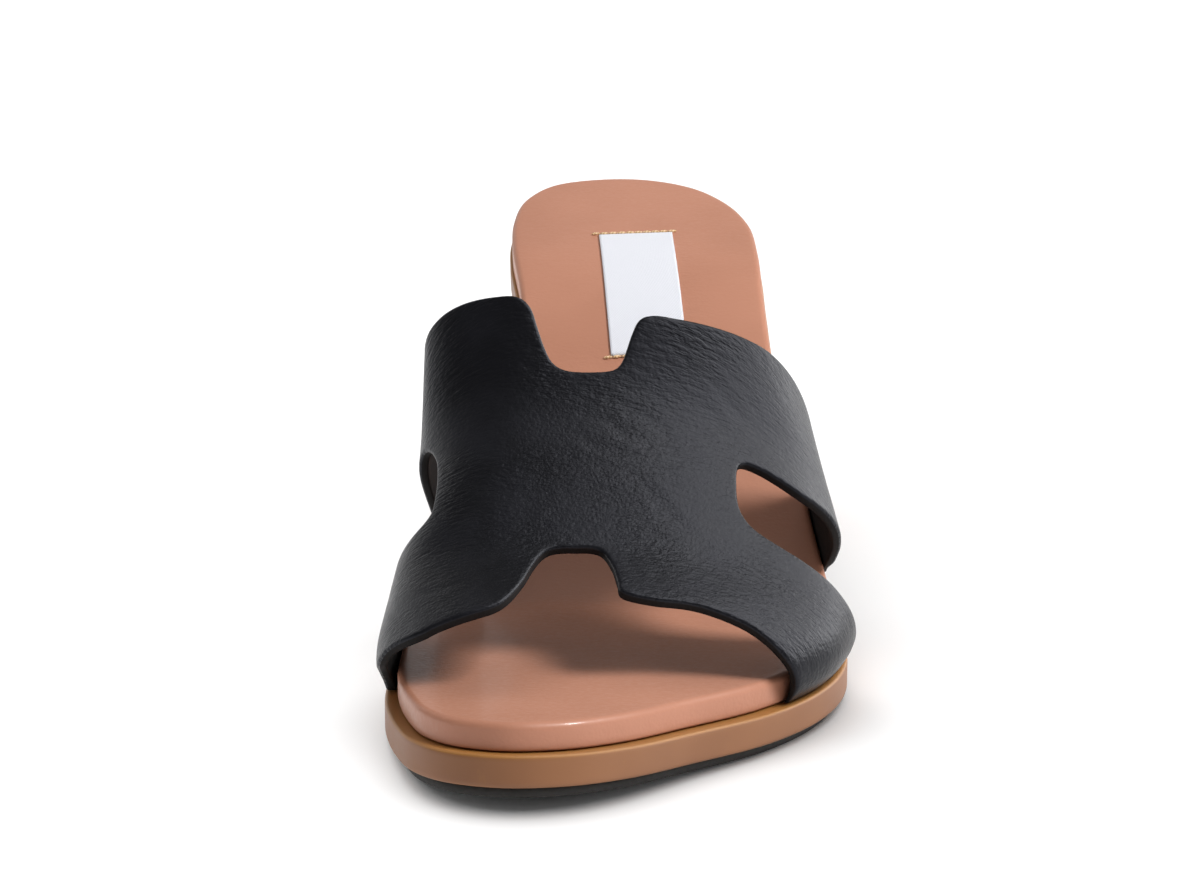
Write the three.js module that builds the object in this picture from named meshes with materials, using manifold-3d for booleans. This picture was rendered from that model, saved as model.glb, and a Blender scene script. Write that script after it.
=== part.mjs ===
// Left slide sandal: a padded footbed on a ledged sole, a block heel, and a one-piece
// strap cut like the letter H. Millimetres and degrees, +Z up, toe towards -Y, so the
// inner (medial) side of the foot lies at -X and the outer (lateral) side at +X.
//
// Every sole layer is drawn flat and then bent. "along" runs from the toe over the
// footbed's top, "across" is X, and "above" is measured square to the bent footbed.

import * as THREE from 'three';
import { mergeVertices } from 'three/addons/utils/BufferGeometryUtils.js';
import Module from 'manifold-3d';

// The last: length over the bent footbed, width at the ball, and how the heel is raised
const footbedLength = 240;
const ballWidth = 84;
const instepHeight = 56.5;
const heelRise = 60;
const toeSlope = 8;
const seatSlope = 12;

// Layers of the sole
const footbedThickness = 5.6;
const footbedEdgeRadius = 2;
const soleThickness = 6;
const soleEdgeRadius = 0.6;
const treadThickness = 1.7;
const ledge = 2.5;
const seatLedge = 0.6;
const treadInset = 2;
const treadToHeel = 5;

// Heel
const heelDepth = 55;
const heelInset = 2;
const heelTaper = 0.86;
const heelHollow = 1.2;
const heelTipThickness = 5;

// Strap
const strapThickness = 2;

// Blank woven label on the heel seat
const labelLength = 48;
const labelWidth = 16.4;
const labelThickness = 0.5;
const labelFromHeel = 32.5;
const labelAcross = -7.2;
const labelTurn = 7.4;

// Space between two pieces that touch
const clearance = 0.3;

const skin = { tan: 0xd9a084, sole: 0xb98a5c, black: 0x1f1f21, rubber: 0x141414, white: 0xf2f1ee };

// Slope of the footbed, as shares of the toe slope, the waist's slope and the seat slope
const slopeRows = [
  { along: 0, toe: -1, waist: 0, seat: 0 },
  { along: 0.125, toe: -0.4, waist: 0, seat: 0 },
  { along: 0.23, toe: 0, waist: 0, seat: 0 },
  { along: 0.32, toe: 0, waist: 0, seat: 0 },
  { along: 0.4, toe: 0, waist: 0.6, seat: 0 },
  { along: 0.48, toe: 0, waist: 1, seat: 0 },
  { along: 0.62, toe: 0, waist: 1, seat: 0 },
  { along: 0.74, toe: 0, waist: 0.55, seat: 0.45 },
  { along: 0.86, toe: 0, waist: 0, seat: 1 },
  { along: 1, toe: 0, waist: 0, seat: 1 },
];

// Footbed outline: shares of its length, and of the ball width to each side
const toeTip = { along: 0, across: -0.196 };
const outlineRows = [
  { along: 0.0125, medial: -0.31, lateral: -0.071 },
  { along: 0.042, medial: -0.387, lateral: 0.043 },
  { along: 0.092, medial: -0.445, lateral: 0.174 },
  { along: 0.154, medial: -0.489, lateral: 0.34 },
  { along: 0.217, medial: -0.505, lateral: 0.447 },
  { along: 0.292, medial: -0.508, lateral: 0.499 },
  { along: 0.375, medial: -0.467, lateral: 0.479 },
  { along: 0.467, medial: -0.395, lateral: 0.425 },
  { along: 0.567, medial: -0.34, lateral: 0.361 },
  { along: 0.667, medial: -0.333, lateral: 0.302 },
  { along: 0.75, medial: -0.365, lateral: 0.271 },
  { along: 0.833, medial: -0.408, lateral: 0.246 },
  { along: 0.896, medial: -0.422, lateral: 0.214 },
  { along: 0.946, medial: -0.403, lateral: 0.145 },
  { along: 0.983, medial: -0.328, lateral: 0.037 },
];
const heelEnd = { along: 1, across: -0.131 };

// Where the ledge narrows to its width at the seat, as shares of the footbed's length
const ledgeChange = { from: 0.22, to: 0.4 };

// Upright strap sections: inside height as a share of the instep height, the peak's
// place and the bulge of each wall as shares of the ball width. A squareness over 2
// makes the shoulder of the arch fuller than an ellipse's.
const archRows = [
  { along: 0.117, height: 0.25, peak: -0.169, medialBulge: 0.004, lateralBulge: 0.015 },
  { along: 0.208, height: 0.36, peak: -0.19, medialBulge: 0.026, lateralBulge: 0.04 },
  { along: 0.25, height: 0.457, peak: -0.2, medialBulge: 0.017, lateralBulge: 0.034 },
  { along: 0.292, height: 0.566, peak: -0.211, medialBulge: 0.007, lateralBulge: 0.022 },
  { along: 0.367, height: 0.768, peak: -0.229, medialBulge: 0.045, lateralBulge: 0.012 },
  { along: 0.433, height: 1, peak: -0.245, medialBulge: 0.1, lateralBulge: -0.006 },
];
const squareRows = [
  { along: 0.117, medial: 2.5, lateral: 1.95 },
  { along: 0.433, medial: 2.8, lateral: 2.3 },
];
const bulgeRise = { medial: 2.5, lateral: 0.75 };

// How far the inner wall leans out just over the ledge near the toe, and up to what height
const flareRows = [
  { along: 0.117, wide: 1.9 },
  { along: 0.16, wide: 1.5 },
  { along: 0.22, wide: 0.5 },
  { along: 0.3, wide: 0 },
  { along: 0.5, wide: 0 },
];
const flareHeight = 15;

// Strap pattern: girth is the share of the way over the arch from the inner side,
// along is a share of the footbed's length
const toeOpeningRows = [
  { girth: -0.05, along: 0.182 }, { girth: 0, along: 0.178 }, { girth: 0.045, along: 0.163 },
  { girth: 0.1, along: 0.132 }, { girth: 0.185, along: 0.111 }, { girth: 0.255, along: 0.109 },
  { girth: 0.325, along: 0.114 }, { girth: 0.372, along: 0.122 }, { girth: 0.391, along: 0.137 },
  { girth: 0.4, along: 0.163 }, { girth: 0.404, along: 0.188 }, { girth: 0.42, along: 0.206 },
  { girth: 0.465, along: 0.211 }, { girth: 0.503, along: 0.21 }, { girth: 0.534, along: 0.192 },
  { girth: 0.561, along: 0.172 }, { girth: 0.589, along: 0.156 }, { girth: 0.65, along: 0.154 },
  { girth: 0.715, along: 0.161 }, { girth: 0.805, along: 0.162 }, { girth: 0.895, along: 0.16 },
  { girth: 0.95, along: 0.166 }, { girth: 1, along: 0.172 }, { girth: 1.05, along: 0.174 },
];
const lateralHoleRows = [
  { girth: 1.05, along: 0.302 }, { girth: 1, along: 0.296 }, { girth: 0.95, along: 0.276 },
  { girth: 0.9, along: 0.262 }, { girth: 0.85, along: 0.26 }, { girth: 0.805, along: 0.26 },
  { girth: 0.76, along: 0.262 }, { girth: 0.725, along: 0.267 }, { girth: 0.703, along: 0.276 },
  { girth: 0.69, along: 0.289 }, { girth: 0.684, along: 0.305 }, { girth: 0.682, along: 0.32 },
  { girth: 0.688, along: 0.331 }, { girth: 0.71, along: 0.335 }, { girth: 0.765, along: 0.338 },
  { girth: 0.8, along: 0.344 }, { girth: 0.845, along: 0.359 }, { girth: 0.88, along: 0.374 },
  { girth: 0.93, along: 0.399 }, { girth: 0.965, along: 0.42 }, { girth: 1, along: 0.446 },
  { girth: 1.05, along: 0.47 },
];
const rearEdgeRows = [
  { girth: 1.05, along: 0.532 }, { girth: 1, along: 0.516 }, { girth: 0.95, along: 0.498 },
  { girth: 0.9, along: 0.483 }, { girth: 0.82, along: 0.465 }, { girth: 0.775, along: 0.455 },
  { girth: 0.73, along: 0.446 }, { girth: 0.69, along: 0.437 }, { girth: 0.645, along: 0.429 },
  { girth: 0.6, along: 0.423 }, { girth: 0.57, along: 0.42 }, { girth: 0.552, along: 0.415 },
  { girth: 0.541, along: 0.405 }, { girth: 0.533, along: 0.395 }, { girth: 0.524, along: 0.385 },
  { girth: 0.51, along: 0.379 }, { girth: 0.48, along: 0.376 }, { girth: 0.452, along: 0.376 },
  { girth: 0.436, along: 0.381 }, { girth: 0.429, along: 0.391 }, { girth: 0.425, along: 0.403 },
  { girth: 0.421, along: 0.415 }, { girth: 0.408, along: 0.422 }, { girth: 0.38, along: 0.426 },
  { girth: 0.33, along: 0.434 }, { girth: 0.25, along: 0.446 }, { girth: 0.15, along: 0.462 },
  { girth: 0.07, along: 0.477 }, { girth: 0, along: 0.485 }, { girth: -0.05, along: 0.488 },
];
const medialHoleRows = [
  { girth: -0.05, along: 0.425 }, { girth: 0, along: 0.419 }, { girth: 0.08, along: 0.399 },
  { girth: 0.15, along: 0.381 }, { girth: 0.195, along: 0.369 }, { girth: 0.227, along: 0.361 },
  { girth: 0.246, along: 0.347 }, { girth: 0.254, along: 0.326 }, { girth: 0.25, along: 0.304 },
  { girth: 0.241, along: 0.278 }, { girth: 0.229, along: 0.263 }, { girth: 0.197, along: 0.256 },
  { girth: 0.14, along: 0.257 }, { girth: 0.08, along: 0.267 }, { girth: 0, along: 0.288 },
  { girth: -0.05, along: 0.293 },
];

// How finely the curved forms are faceted
const profileSteps = 240;
const samplesPerRow = 4;
const arcSteps = 4;
const heelRings = 5;
const sectionSamples = 96;
const footSamples = 4;
const slabAlongSteps = 34;
const slabGirthSteps = 60;
const patternSpan = 150;
const pointsPerPatternRow = 3;
const alongNudge = 0.5;
const girthNudge = 0.01;
const labelSteps = 12;

// Level of the footbed's top above the ground at the ball
const ballLevel = footbedThickness + soleThickness + clearance + treadThickness;

// Smooth curve through the rows of a table, without overshoot, straight past its ends
function follow(rows, column, at) {
  let i = 0;
  while (i < rows.length - 2 && at > rows[i + 1].along) i += 1;
  const rise = (k) => (rows[k + 1][column] - rows[k][column]) / (rows[k + 1].along - rows[k].along);
  const tangent = (k) => {
    if (k === 0) return rise(0);
    if (k === rows.length - 1) return rise(k - 1);
    const before = rise(k - 1);
    const after = rise(k);
    return before * after <= 0 ? 0 : (2 * before * after) / (before + after);
  };
  const first = rows[i];
  const last = rows[i + 1];
  const span = last.along - first.along;
  if (at < first.along) return first[column] + tangent(i) * (at - first.along);
  if (at > last.along) return last[column] + tangent(i + 1) * (at - last.along);
  const t = (at - first.along) / span;
  const ease = t * t * (3 - 2 * t);
  return first[column] * (1 - ease) + last[column] * ease
    + span * (tangent(i) * t * (1 - t) * (1 - t) - tangent(i + 1) * t * t * (1 - t));
}

// Height and distance reached along the footbed for a given slope of the waist
function walkProfile(waistSlope) {
  const points = [{ along: 0, y: 0, z: 0, slope: THREE.MathUtils.degToRad(-toeSlope) }];
  const step = footbedLength / profileSteps;
  for (let i = 1; i <= profileSteps; i += 1) {
    const share = i / profileSteps;
    const degrees = toeSlope * follow(slopeRows, 'toe', share)
      + waistSlope * follow(slopeRows, 'waist', share) + seatSlope * follow(slopeRows, 'seat', share);
    const slope = THREE.MathUtils.degToRad(degrees);
    const before = points[i - 1];
    const mean = (slope + before.slope) / 2;
    points.push({
      along: share * footbedLength,
      y: before.y + Math.cos(mean) * step,
      z: before.z + Math.sin(mean) * step,
      slope,
    });
  }
  return points;
}

// The waist is as steep as the heel's rise asks for
function makeProfile() {
  let gentle = 0;
  let steep = 80;
  let points = walkProfile(steep);
  for (let i = 0; i < 40; i += 1) {
    const middle = (gentle + steep) / 2;
    points = walkProfile(middle);
    const lowest = Math.min(...points.map((point) => point.z));
    if (points[profileSteps].z - lowest < heelRise) gentle = middle;
    else steep = middle;
  }
  const lowest = Math.min(...points.map((point) => point.z));
  return points.map((point) => ({ ...point, z: point.z - lowest + ballLevel }));
}

const profile = makeProfile();

function profileAt(along) {
  const place = THREE.MathUtils.clamp((along / footbedLength) * profileSteps, 0, profileSteps);
  const i = Math.min(Math.floor(place), profileSteps - 1);
  const t = place - i;
  const mix = (key) => profile[i][key] * (1 - t) + profile[i + 1][key] * t;
  const slope = mix('slope');
  const past = along - (place / profileSteps) * footbedLength;
  return { y: mix('y') + past * Math.cos(slope), z: mix('z') + past * Math.sin(slope), slope };
}

// Flat place (along, across, above) to its place on the bent sole
function bend(along, across, above) {
  const at = profileAt(along);
  return new THREE.Vector3(
    across,
    at.y - above * Math.sin(at.slope),
    at.z + above * Math.cos(at.slope),
  );
}

// The footbed's closed outline, flat: x is along, y is across
function makeOutline() {
  const place = (along, across) => new THREE.Vector3(along * footbedLength, across * ballWidth, 0);
  const points = [place(toeTip.along, toeTip.across)];
  for (const row of outlineRows) points.push(place(row.along, row.lateral));
  points.push(place(heelEnd.along, heelEnd.across));
  for (const row of [...outlineRows].reverse()) points.push(place(row.along, row.medial));
  return new THREE.CatmullRomCurve3(points, true, 'centripetal');
}

const outline = makeOutline();
const halfSteps = (outlineRows.length + 1) * samplesPerRow;

// Outline grown outwards by a distance that may change along the foot, as two halves
// from the toe to the heel: pairs of points with the same index face each other
function grownHalves(grow) {
  const ring = [];
  for (let i = 0; i < 2 * halfSteps; i += 1) ring.push(outline.getPoint(i / (2 * halfSteps)));
  const grown = ring.map((point, i) => {
    const before = ring[(i + ring.length - 1) % ring.length];
    const after = ring[(i + 1) % ring.length];
    const out = new THREE.Vector2(before.y - after.y, after.x - before.x).normalize();
    const distance = grow(point.x);
    return new THREE.Vector2(point.x + out.x * distance, point.y + out.y * distance);
  });
  const lateral = grown.slice(0, halfSteps + 1);
  const medial = [grown[0], ...grown.slice(halfSteps).reverse()];
  return { lateral, medial };
}

// The line on the ledge that the strap's lining side comes down to
const strapFoot = grownHalves(() => clearance);

function strapFootAcross(side, along) {
  const half = strapFoot[side];
  let i = 0;
  while (i < half.length - 2 && half[i + 1].x < along) i += 1;
  const t = THREE.MathUtils.clamp((along - half[i].x) / (half[i + 1].x - half[i].x), 0, 1);
  return half[i].y * (1 - t) + half[i + 1].y * t;
}

function ledgeAt(along) {
  const t = THREE.MathUtils.smoothstep(along / footbedLength, ledgeChange.from, ledgeChange.to);
  return ledge * (1 - t) + seatLedge * t;
}

// Closed solid from rings of points, each ring two facing halves, lowest ring first
function solidFromRings(rings) {
  const corners = [];
  const faces = [];
  const ringIds = rings.map(({ lateral, medial }) => {
    const add = (point) => corners.push(point.x, point.y, point.z) / 3 - 1;
    const first = lateral.map(add);
    const same = (i) => lateral[i].distanceTo(medial[i]) < 1e-6;
    const second = medial.map((point, i) => (same(i) ? first[i] : add(point)));
    return { first, second };
  });
  const quad = (a, b, c, d) => faces.push(a, b, c, a, c, d);
  const loop = ({ first, second }) => [...first, ...[...second].reverse()].filter(
    (id, i, all) => id !== all[(i + 1) % all.length],
  );
  for (let k = 0; k + 1 < ringIds.length; k += 1) {
    const low = loop(ringIds[k]);
    const high = loop(ringIds[k + 1]);
    low.forEach((id, i) => {
      const next = (i + 1) % low.length;
      quad(id, low[next], high[next], high[i]);
    });
  }
  const cap = ({ first, second }, flip) => {
    for (let i = 0; i + 1 < first.length; i += 1) {
      const ids = [first[i], first[i + 1], second[i + 1], second[i]];
      if (flip) ids.reverse();
      quad(...ids);
    }
  };
  cap(ringIds[0], true);
  cap(ringIds[ringIds.length - 1], false);
  return closedGeometry(corners, faces);
}

// Geometry with its faces pointing outwards and without flat or doubled corners
function closedGeometry(corners, faces) {
  const kept = [];
  let volume = 0;
  const corner = (id) => new THREE.Vector3().fromArray(corners, 3 * id);
  for (let i = 0; i < faces.length; i += 3) {
    const [a, b, c] = faces.slice(i, i + 3);
    if (a === b || b === c || c === a) continue;
    kept.push(a, b, c);
    volume += corner(a).dot(corner(b).cross(corner(c)));
  }
  if (volume < 0) kept.reverse();
  const geometry = new THREE.BufferGeometry();
  geometry.setAttribute('position', new THREE.Float32BufferAttribute(corners, 3));
  geometry.setIndex(kept);
  return geometry;
}

// A layer of the sole: levels hold how far each ring is grown and its height
function bentLayer(levels, end = Infinity) {
  return solidFromRings(levels.map(({ grow, above }) => {
    const { lateral, medial } = grownHalves(grow);
    const count = lateral.filter((point) => point.x <= end).length;
    const raise = (point) => bend(point.x, point.y, above);
    return { lateral: lateral.slice(0, count).map(raise), medial: medial.slice(0, count).map(raise) };
  }));
}

function makeFootbed() {
  const levels = [{ grow: () => 0, above: -footbedThickness + clearance }];
  for (let i = 0; i <= arcSteps; i += 1) {
    const turn = (i / arcSteps) * (Math.PI / 2);
    levels.push({
      grow: () => -footbedEdgeRadius * (1 - Math.cos(turn)),
      above: -footbedEdgeRadius * (1 - Math.sin(turn)),
    });
  }
  return bentLayer(levels);
}

function makeSole() {
  const top = -footbedThickness;
  const bottom = top - soleThickness;
  const level = (inset, above) => ({ grow: (along) => ledgeAt(along) - inset, above });
  return bentLayer([
    level(soleEdgeRadius, bottom),
    level(0, bottom + soleEdgeRadius),
    level(0, top - soleEdgeRadius),
    level(soleEdgeRadius, top),
  ]);
}

function makeTread() {
  const top = -footbedThickness - soleThickness - clearance;
  const grow = (along) => ledgeAt(along) - treadInset;
  const end = footbedLength - heelDepth - treadToHeel;
  return bentLayer([{ grow, above: top - treadThickness }, { grow, above: top }], end);
}

// Where the heel meets the sole, and the same outline drawn in at the ground
function makeHeelOutlines() {
  const under = -footbedThickness - soleThickness - clearance;
  const breast = footbedLength - heelDepth;
  const { lateral, medial } = grownHalves((along) => ledgeAt(along) - heelInset);
  const first = lateral.findIndex((point) => point.x >= breast);
  const seat = (half) => half.slice(first).map((point) => bend(point.x, point.y, under));
  const top = { lateral: seat(lateral), medial: seat(medial) };
  const box = new THREE.Box3().setFromPoints([...top.lateral, ...top.medial]);
  const centre = box.getCenter(new THREE.Vector3());
  const lower = (point) => new THREE.Vector3(
    centre.x + (point.x - centre.x) * heelTaper,
    centre.y + (point.y - centre.y) * heelTaper,
    heelTipThickness + clearance,
  );
  const foot = { lateral: top.lateral.map(lower), medial: top.medial.map(lower) };
  return { top, foot, centre };
}

const heelOutlines = makeHeelOutlines();

function makeHeelBlock() {
  const { top, foot, centre } = heelOutlines;
  const rings = [];
  for (let k = 0; k < heelRings; k += 1) {
    const t = k / (heelRings - 1);
    const hollow = heelHollow * Math.sin(Math.PI * t);
    const between = (low, high) => {
      const point = low.clone().lerp(high, t);
      const inwards = new THREE.Vector2(centre.x - point.x, centre.y - point.y);
      inwards.normalize().multiplyScalar(hollow);
      return point.add(new THREE.Vector3(inwards.x, inwards.y, 0));
    };
    rings.push({
      lateral: foot.lateral.map((point, i) => between(point, top.lateral[i])),
      medial: foot.medial.map((point, i) => between(point, top.medial[i])),
    });
  }
  return solidFromRings(rings);
}

function makeHeelTip() {
  const { foot } = heelOutlines;
  const at = (z) => ({
    lateral: foot.lateral.map((point) => point.clone().setZ(z)),
    medial: foot.medial.map((point) => point.clone().setZ(z)),
  });
  return solidFromRings([at(0), at(heelTipThickness)]);
}

function makeLabel() {
  const turn = THREE.MathUtils.degToRad(labelTurn);
  const middle = footbedLength - labelFromHeel - labelLength / 2;
  const edge = (side, above) => {
    const points = [];
    for (let i = 0; i <= labelSteps; i += 1) {
      const down = (i / labelSteps - 0.5) * labelLength;
      const out = (side * labelWidth) / 2;
      const along = middle + down * Math.cos(turn) + out * Math.sin(turn);
      const across = labelAcross + (labelLength / 2 - down) * Math.sin(turn) + out * Math.cos(turn);
      points.push(bend(along, across, above));
    }
    return points;
  };
  const ring = (above) => ({ lateral: edge(1, above), medial: edge(-1, above) });
  return solidFromRings([ring(clearance), ring(clearance + labelThickness)]);
}

// One wall of the strap's section at a place along the foot, from the ledge to the peak.
// It goes up beside the footbed, then on as a superellipse, and is pushed out by the
// bulge and, low down, by the flare. An inward bulge starts at the footbed's top edge.
function archWall(side, along) {
  const share = along / footbedLength;
  const out = side === 'medial' ? -1 : 1;
  const { slope } = profileAt(along);
  const drop = (footbedThickness - clearance) / Math.cos(slope);
  const foot = strapFootAcross(side, along - drop * Math.sin(slope));
  const edge = strapFootAcross(side, along);
  const high = instepHeight * follow(archRows, 'height', share);
  const peak = ballWidth * follow(archRows, 'peak', share);
  const bulge = ballWidth * follow(archRows, `${side}Bulge`, share);
  const flare = side === 'medial' ? follow(flareRows, 'wide', share) : 0;
  const power = 2 / follow(squareRows, side, share);
  const below = bulge > 0 ? drop : 0;
  const rise = bulge > 0 ? bulgeRise[side] : 1;
  const points = [];
  const put = (across, above) => {
    const climb = THREE.MathUtils.clamp((above + below) / (high + below), 0, 1);
    const low = THREE.MathUtils.clamp((above + drop) / flareHeight, 0, 1);
    const lean = bulge * Math.sin(Math.PI * climb ** rise) + flare * Math.sin(Math.PI * low);
    points.push(new THREE.Vector2(across + out * lean, above));
  };
  for (let i = 0; i < footSamples; i += 1) {
    const t = i / footSamples;
    put(foot * (1 - t) + edge * t, -drop * (1 - t));
  }
  for (let i = 0; i <= sectionSamples / 2; i += 1) {
    const angle = (i / sectionSamples) * Math.PI;
    const reach = Math.max(Math.cos(angle), 0) ** power;
    put(peak + (edge - peak) * reach, high * Math.min(Math.sin(angle) ** power, 1));
  }
  return points;
}

// The section at one place along the foot, with the length run from the inner side
function archSection(along) {
  const points = [
    ...archWall('medial', along),
    ...archWall('lateral', along).reverse().slice(1),
  ];
  const run = [0];
  for (let i = 1; i < points.length; i += 1) {
    run.push(run[i - 1] + points[i].distanceTo(points[i - 1]));
  }
  return { points, run };
}

const sectionStore = new Map();

// Inner surface of the strap at a place along and a share of the girth
function innerSurface(along, girth) {
  if (!sectionStore.has(along)) sectionStore.set(along, archSection(along));
  const { points, run } = sectionStore.get(along);
  const target = THREE.MathUtils.clamp(girth, 0, 1) * run[run.length - 1];
  let i = 0;
  while (i < run.length - 2 && run[i + 1] < target) i += 1;
  const t = (target - run[i]) / (run[i + 1] - run[i]);
  const at = points[i].clone().lerp(points[i + 1], t);
  const floor = profileAt(along);
  return new THREE.Vector3(at.x, floor.y, floor.z + at.y);
}

// Strap surface at a depth through the leather: 0 is the lining side. The strap's foot
// stays level with the ledge, so the outward direction never dips below it.
function strapSurface(along, girth, depth) {
  const near = innerSurface(along, girth);
  const ahead = innerSurface(along + alongNudge, girth);
  ahead.sub(innerSurface(along - alongNudge, girth));
  const over = innerSurface(along, Math.min(girth + girthNudge, 1));
  over.sub(innerSurface(along, Math.max(girth - girthNudge, 0)));
  const out = over.cross(ahead).normalize();
  if (out.z < 0) out.setZ(0).normalize();
  return near.addScaledVector(out, depth);
}

function strapPattern() {
  const place = (row) => new THREE.Vector2(row.along * footbedLength, row.girth * patternSpan);
  const runs = [toeOpeningRows, lateralHoleRows, rearEdgeRows, medialHoleRows];
  const shape = new THREE.Shape();
  const start = place(runs[0][0]);
  shape.moveTo(start.x, start.y);
  runs.forEach((rows, k) => {
    const points = rows.map(place);
    if (k > 0) shape.lineTo(points[0].x, points[0].y);
    shape.splineThru(points.slice(1));
  });
  shape.closePath();
  return shape;
}

// The flat pattern is cut from a finely divided sheet, which is then laid on the last
const wasm = await Module();
wasm.setup();

function toSolid(geometry) {
  const bare = geometry.clone();
  bare.deleteAttribute('normal');
  bare.deleteAttribute('uv');
  const merged = mergeVertices(bare, 1e-5);
  return new wasm.Manifold(new wasm.Mesh({
    numProp: 3,
    vertProperties: new Float32Array(merged.attributes.position.array),
    triVerts: new Uint32Array(merged.index.array),
  }));
}

function makeStrap() {
  const shares = [...toeOpeningRows, ...rearEdgeRows].map((row) => row.along);
  const front = (Math.min(...shares) - 0.01) * footbedLength;
  const rear = (Math.max(...shares) + 0.01) * footbedLength;
  const sheet = new THREE.BoxGeometry(
    rear - front, patternSpan, strapThickness, slabAlongSteps, slabGirthSteps, 1,
  );
  sheet.translate((front + rear) / 2, patternSpan / 2, strapThickness / 2);
  const cutter = new THREE.ExtrudeGeometry(strapPattern(), {
    depth: 3 * strapThickness, curveSegments: pointsPerPatternRow, bevelEnabled: false,
  });
  cutter.translate(0, 0, -strapThickness);
  const mesh = toSolid(sheet).intersect(toSolid(cutter)).getMesh();
  const corners = [];
  for (let i = 0; i < mesh.vertProperties.length; i += mesh.numProp) {
    const [along, over, depth] = mesh.vertProperties.slice(i, i + 3);
    corners.push(...strapSurface(along, over / patternSpan, depth).toArray());
  }
  return closedGeometry(corners, [...mesh.triVerts]);
}

const group = new THREE.Group();

function add(name, geometry, color, roughness) {
  const material = new THREE.MeshStandardMaterial({ color, roughness, metalness: 0 });
  const mesh = new THREE.Mesh(geometry, material);
  mesh.name = name;
  group.add(mesh);
}

add('footbed', makeFootbed(), skin.tan, 0.5);
add('strap_upper', makeStrap(), skin.black, 0.45);
add('sole', makeSole(), skin.sole, 0.6);
add('tread', makeTread(), skin.rubber, 0.8);
add('heel_block', makeHeelBlock(), skin.sole, 0.6);
add('heel_tip', makeHeelTip(), skin.rubber, 0.8);
add('label', makeLabel(), skin.white, 0.8);

// The object's origin is the middle of its box, on the ground
const box = new THREE.Box3().setFromObject(group);
const middle = box.getCenter(new THREE.Vector3());
for (const mesh of group.children) mesh.position.set(-middle.x, -middle.y, -box.min.z);

export default group;
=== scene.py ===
"""Left slide sandal: black leather strap cut like the letter H, padded tan footbed,
ledged sole with tread, block heel with its tip, and a blank woven label."""

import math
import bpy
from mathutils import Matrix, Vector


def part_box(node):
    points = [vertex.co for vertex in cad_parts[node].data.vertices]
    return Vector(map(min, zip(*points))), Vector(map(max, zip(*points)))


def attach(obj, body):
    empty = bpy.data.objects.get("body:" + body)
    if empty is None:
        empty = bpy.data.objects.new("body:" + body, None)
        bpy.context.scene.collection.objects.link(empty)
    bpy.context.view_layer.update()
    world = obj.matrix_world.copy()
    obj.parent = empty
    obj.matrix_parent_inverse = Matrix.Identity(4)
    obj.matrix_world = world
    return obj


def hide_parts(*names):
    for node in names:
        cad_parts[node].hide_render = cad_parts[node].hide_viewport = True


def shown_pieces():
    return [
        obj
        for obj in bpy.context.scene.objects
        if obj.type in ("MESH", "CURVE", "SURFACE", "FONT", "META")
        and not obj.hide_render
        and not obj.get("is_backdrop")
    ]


bl_info = {
    "name": "Slide Sandal",
    "version": (1, 0, 0),
    "blender": (4, 5, 0),
    "location": "3D View > Sidebar > Sandal",
    "description": "Builds a block-heel slide sandal around its packed frame",
    "category": "Object",
}

import bmesh
import bpy
import numpy as np
from bpy.props import FloatProperty, FloatVectorProperty, PointerProperty
from mathutils import Vector
from mathutils.geometry import delaunay_2d_cdt

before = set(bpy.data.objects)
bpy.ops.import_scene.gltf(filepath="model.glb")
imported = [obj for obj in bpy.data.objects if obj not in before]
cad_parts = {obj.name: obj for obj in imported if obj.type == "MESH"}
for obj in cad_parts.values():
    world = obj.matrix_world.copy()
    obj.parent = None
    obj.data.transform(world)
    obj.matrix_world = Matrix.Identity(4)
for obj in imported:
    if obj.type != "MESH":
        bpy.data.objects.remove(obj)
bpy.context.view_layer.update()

MM = 0.001
DOUBLES = 1e-6

# The last, in millimetres and degrees
FOOTBED_LENGTH = 240.0
BALL_WIDTH = 84.0
INSTEP_HEIGHT = 56.5
HEEL_RISE = 60.0
TOE_SLOPE = 8.0
SEAT_SLOPE = 12.0

# Layers of the sole, heel and strap
FOOTBED_THICKNESS = 5.6
SOLE_THICKNESS = 6.0
TREAD_THICKNESS = 1.7
LEDGE = 2.5
SEAT_LEDGE = 0.6
LEDGE_CHANGE = (0.22, 0.4)
TREAD_INSET = 2.0
TREAD_TO_HEEL = 5.0
HEEL_DEPTH = 55.0
HEEL_INSET = 2.0
HEEL_TAPER = 0.86
HEEL_HOLLOW = 1.2
HEEL_TIP_THICKNESS = 5.0
STRAP_THICKNESS = 2.0
THINNED_FROM = 0.955
THINNED_BY = 0.5
CLEARANCE = 0.3
BALL_LEVEL = FOOTBED_THICKNESS + SOLE_THICKNESS + CLEARANCE + TREAD_THICKNESS

# Slope of the footbed: along, then shares of the toe's, the waist's and the seat's slope
SLOPE_ROWS = [
    (0, -1, 0, 0), (0.125, -0.4, 0, 0), (0.23, 0, 0, 0), (0.32, 0, 0, 0), (0.4, 0, 0.6, 0),
    (0.48, 0, 1, 0), (0.62, 0, 1, 0), (0.74, 0, 0.55, 0.45), (0.86, 0, 0, 1), (1, 0, 0, 1),
]

# Footbed outline: along, then the inner and the outer side as shares of the ball width
TOE_TIP = (0, -0.196)
OUTLINE_ROWS = [
    (0.0125, -0.31, -0.071), (0.042, -0.387, 0.043), (0.092, -0.445, 0.174),
    (0.154, -0.489, 0.34), (0.217, -0.505, 0.447), (0.292, -0.508, 0.499),
    (0.375, -0.467, 0.479), (0.467, -0.395, 0.425), (0.567, -0.34, 0.361),
    (0.667, -0.333, 0.302), (0.75, -0.365, 0.271), (0.833, -0.408, 0.246),
    (0.896, -0.422, 0.214), (0.946, -0.403, 0.145), (0.983, -0.328, 0.037),
]
HEEL_END = (1, -0.131)

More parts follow.
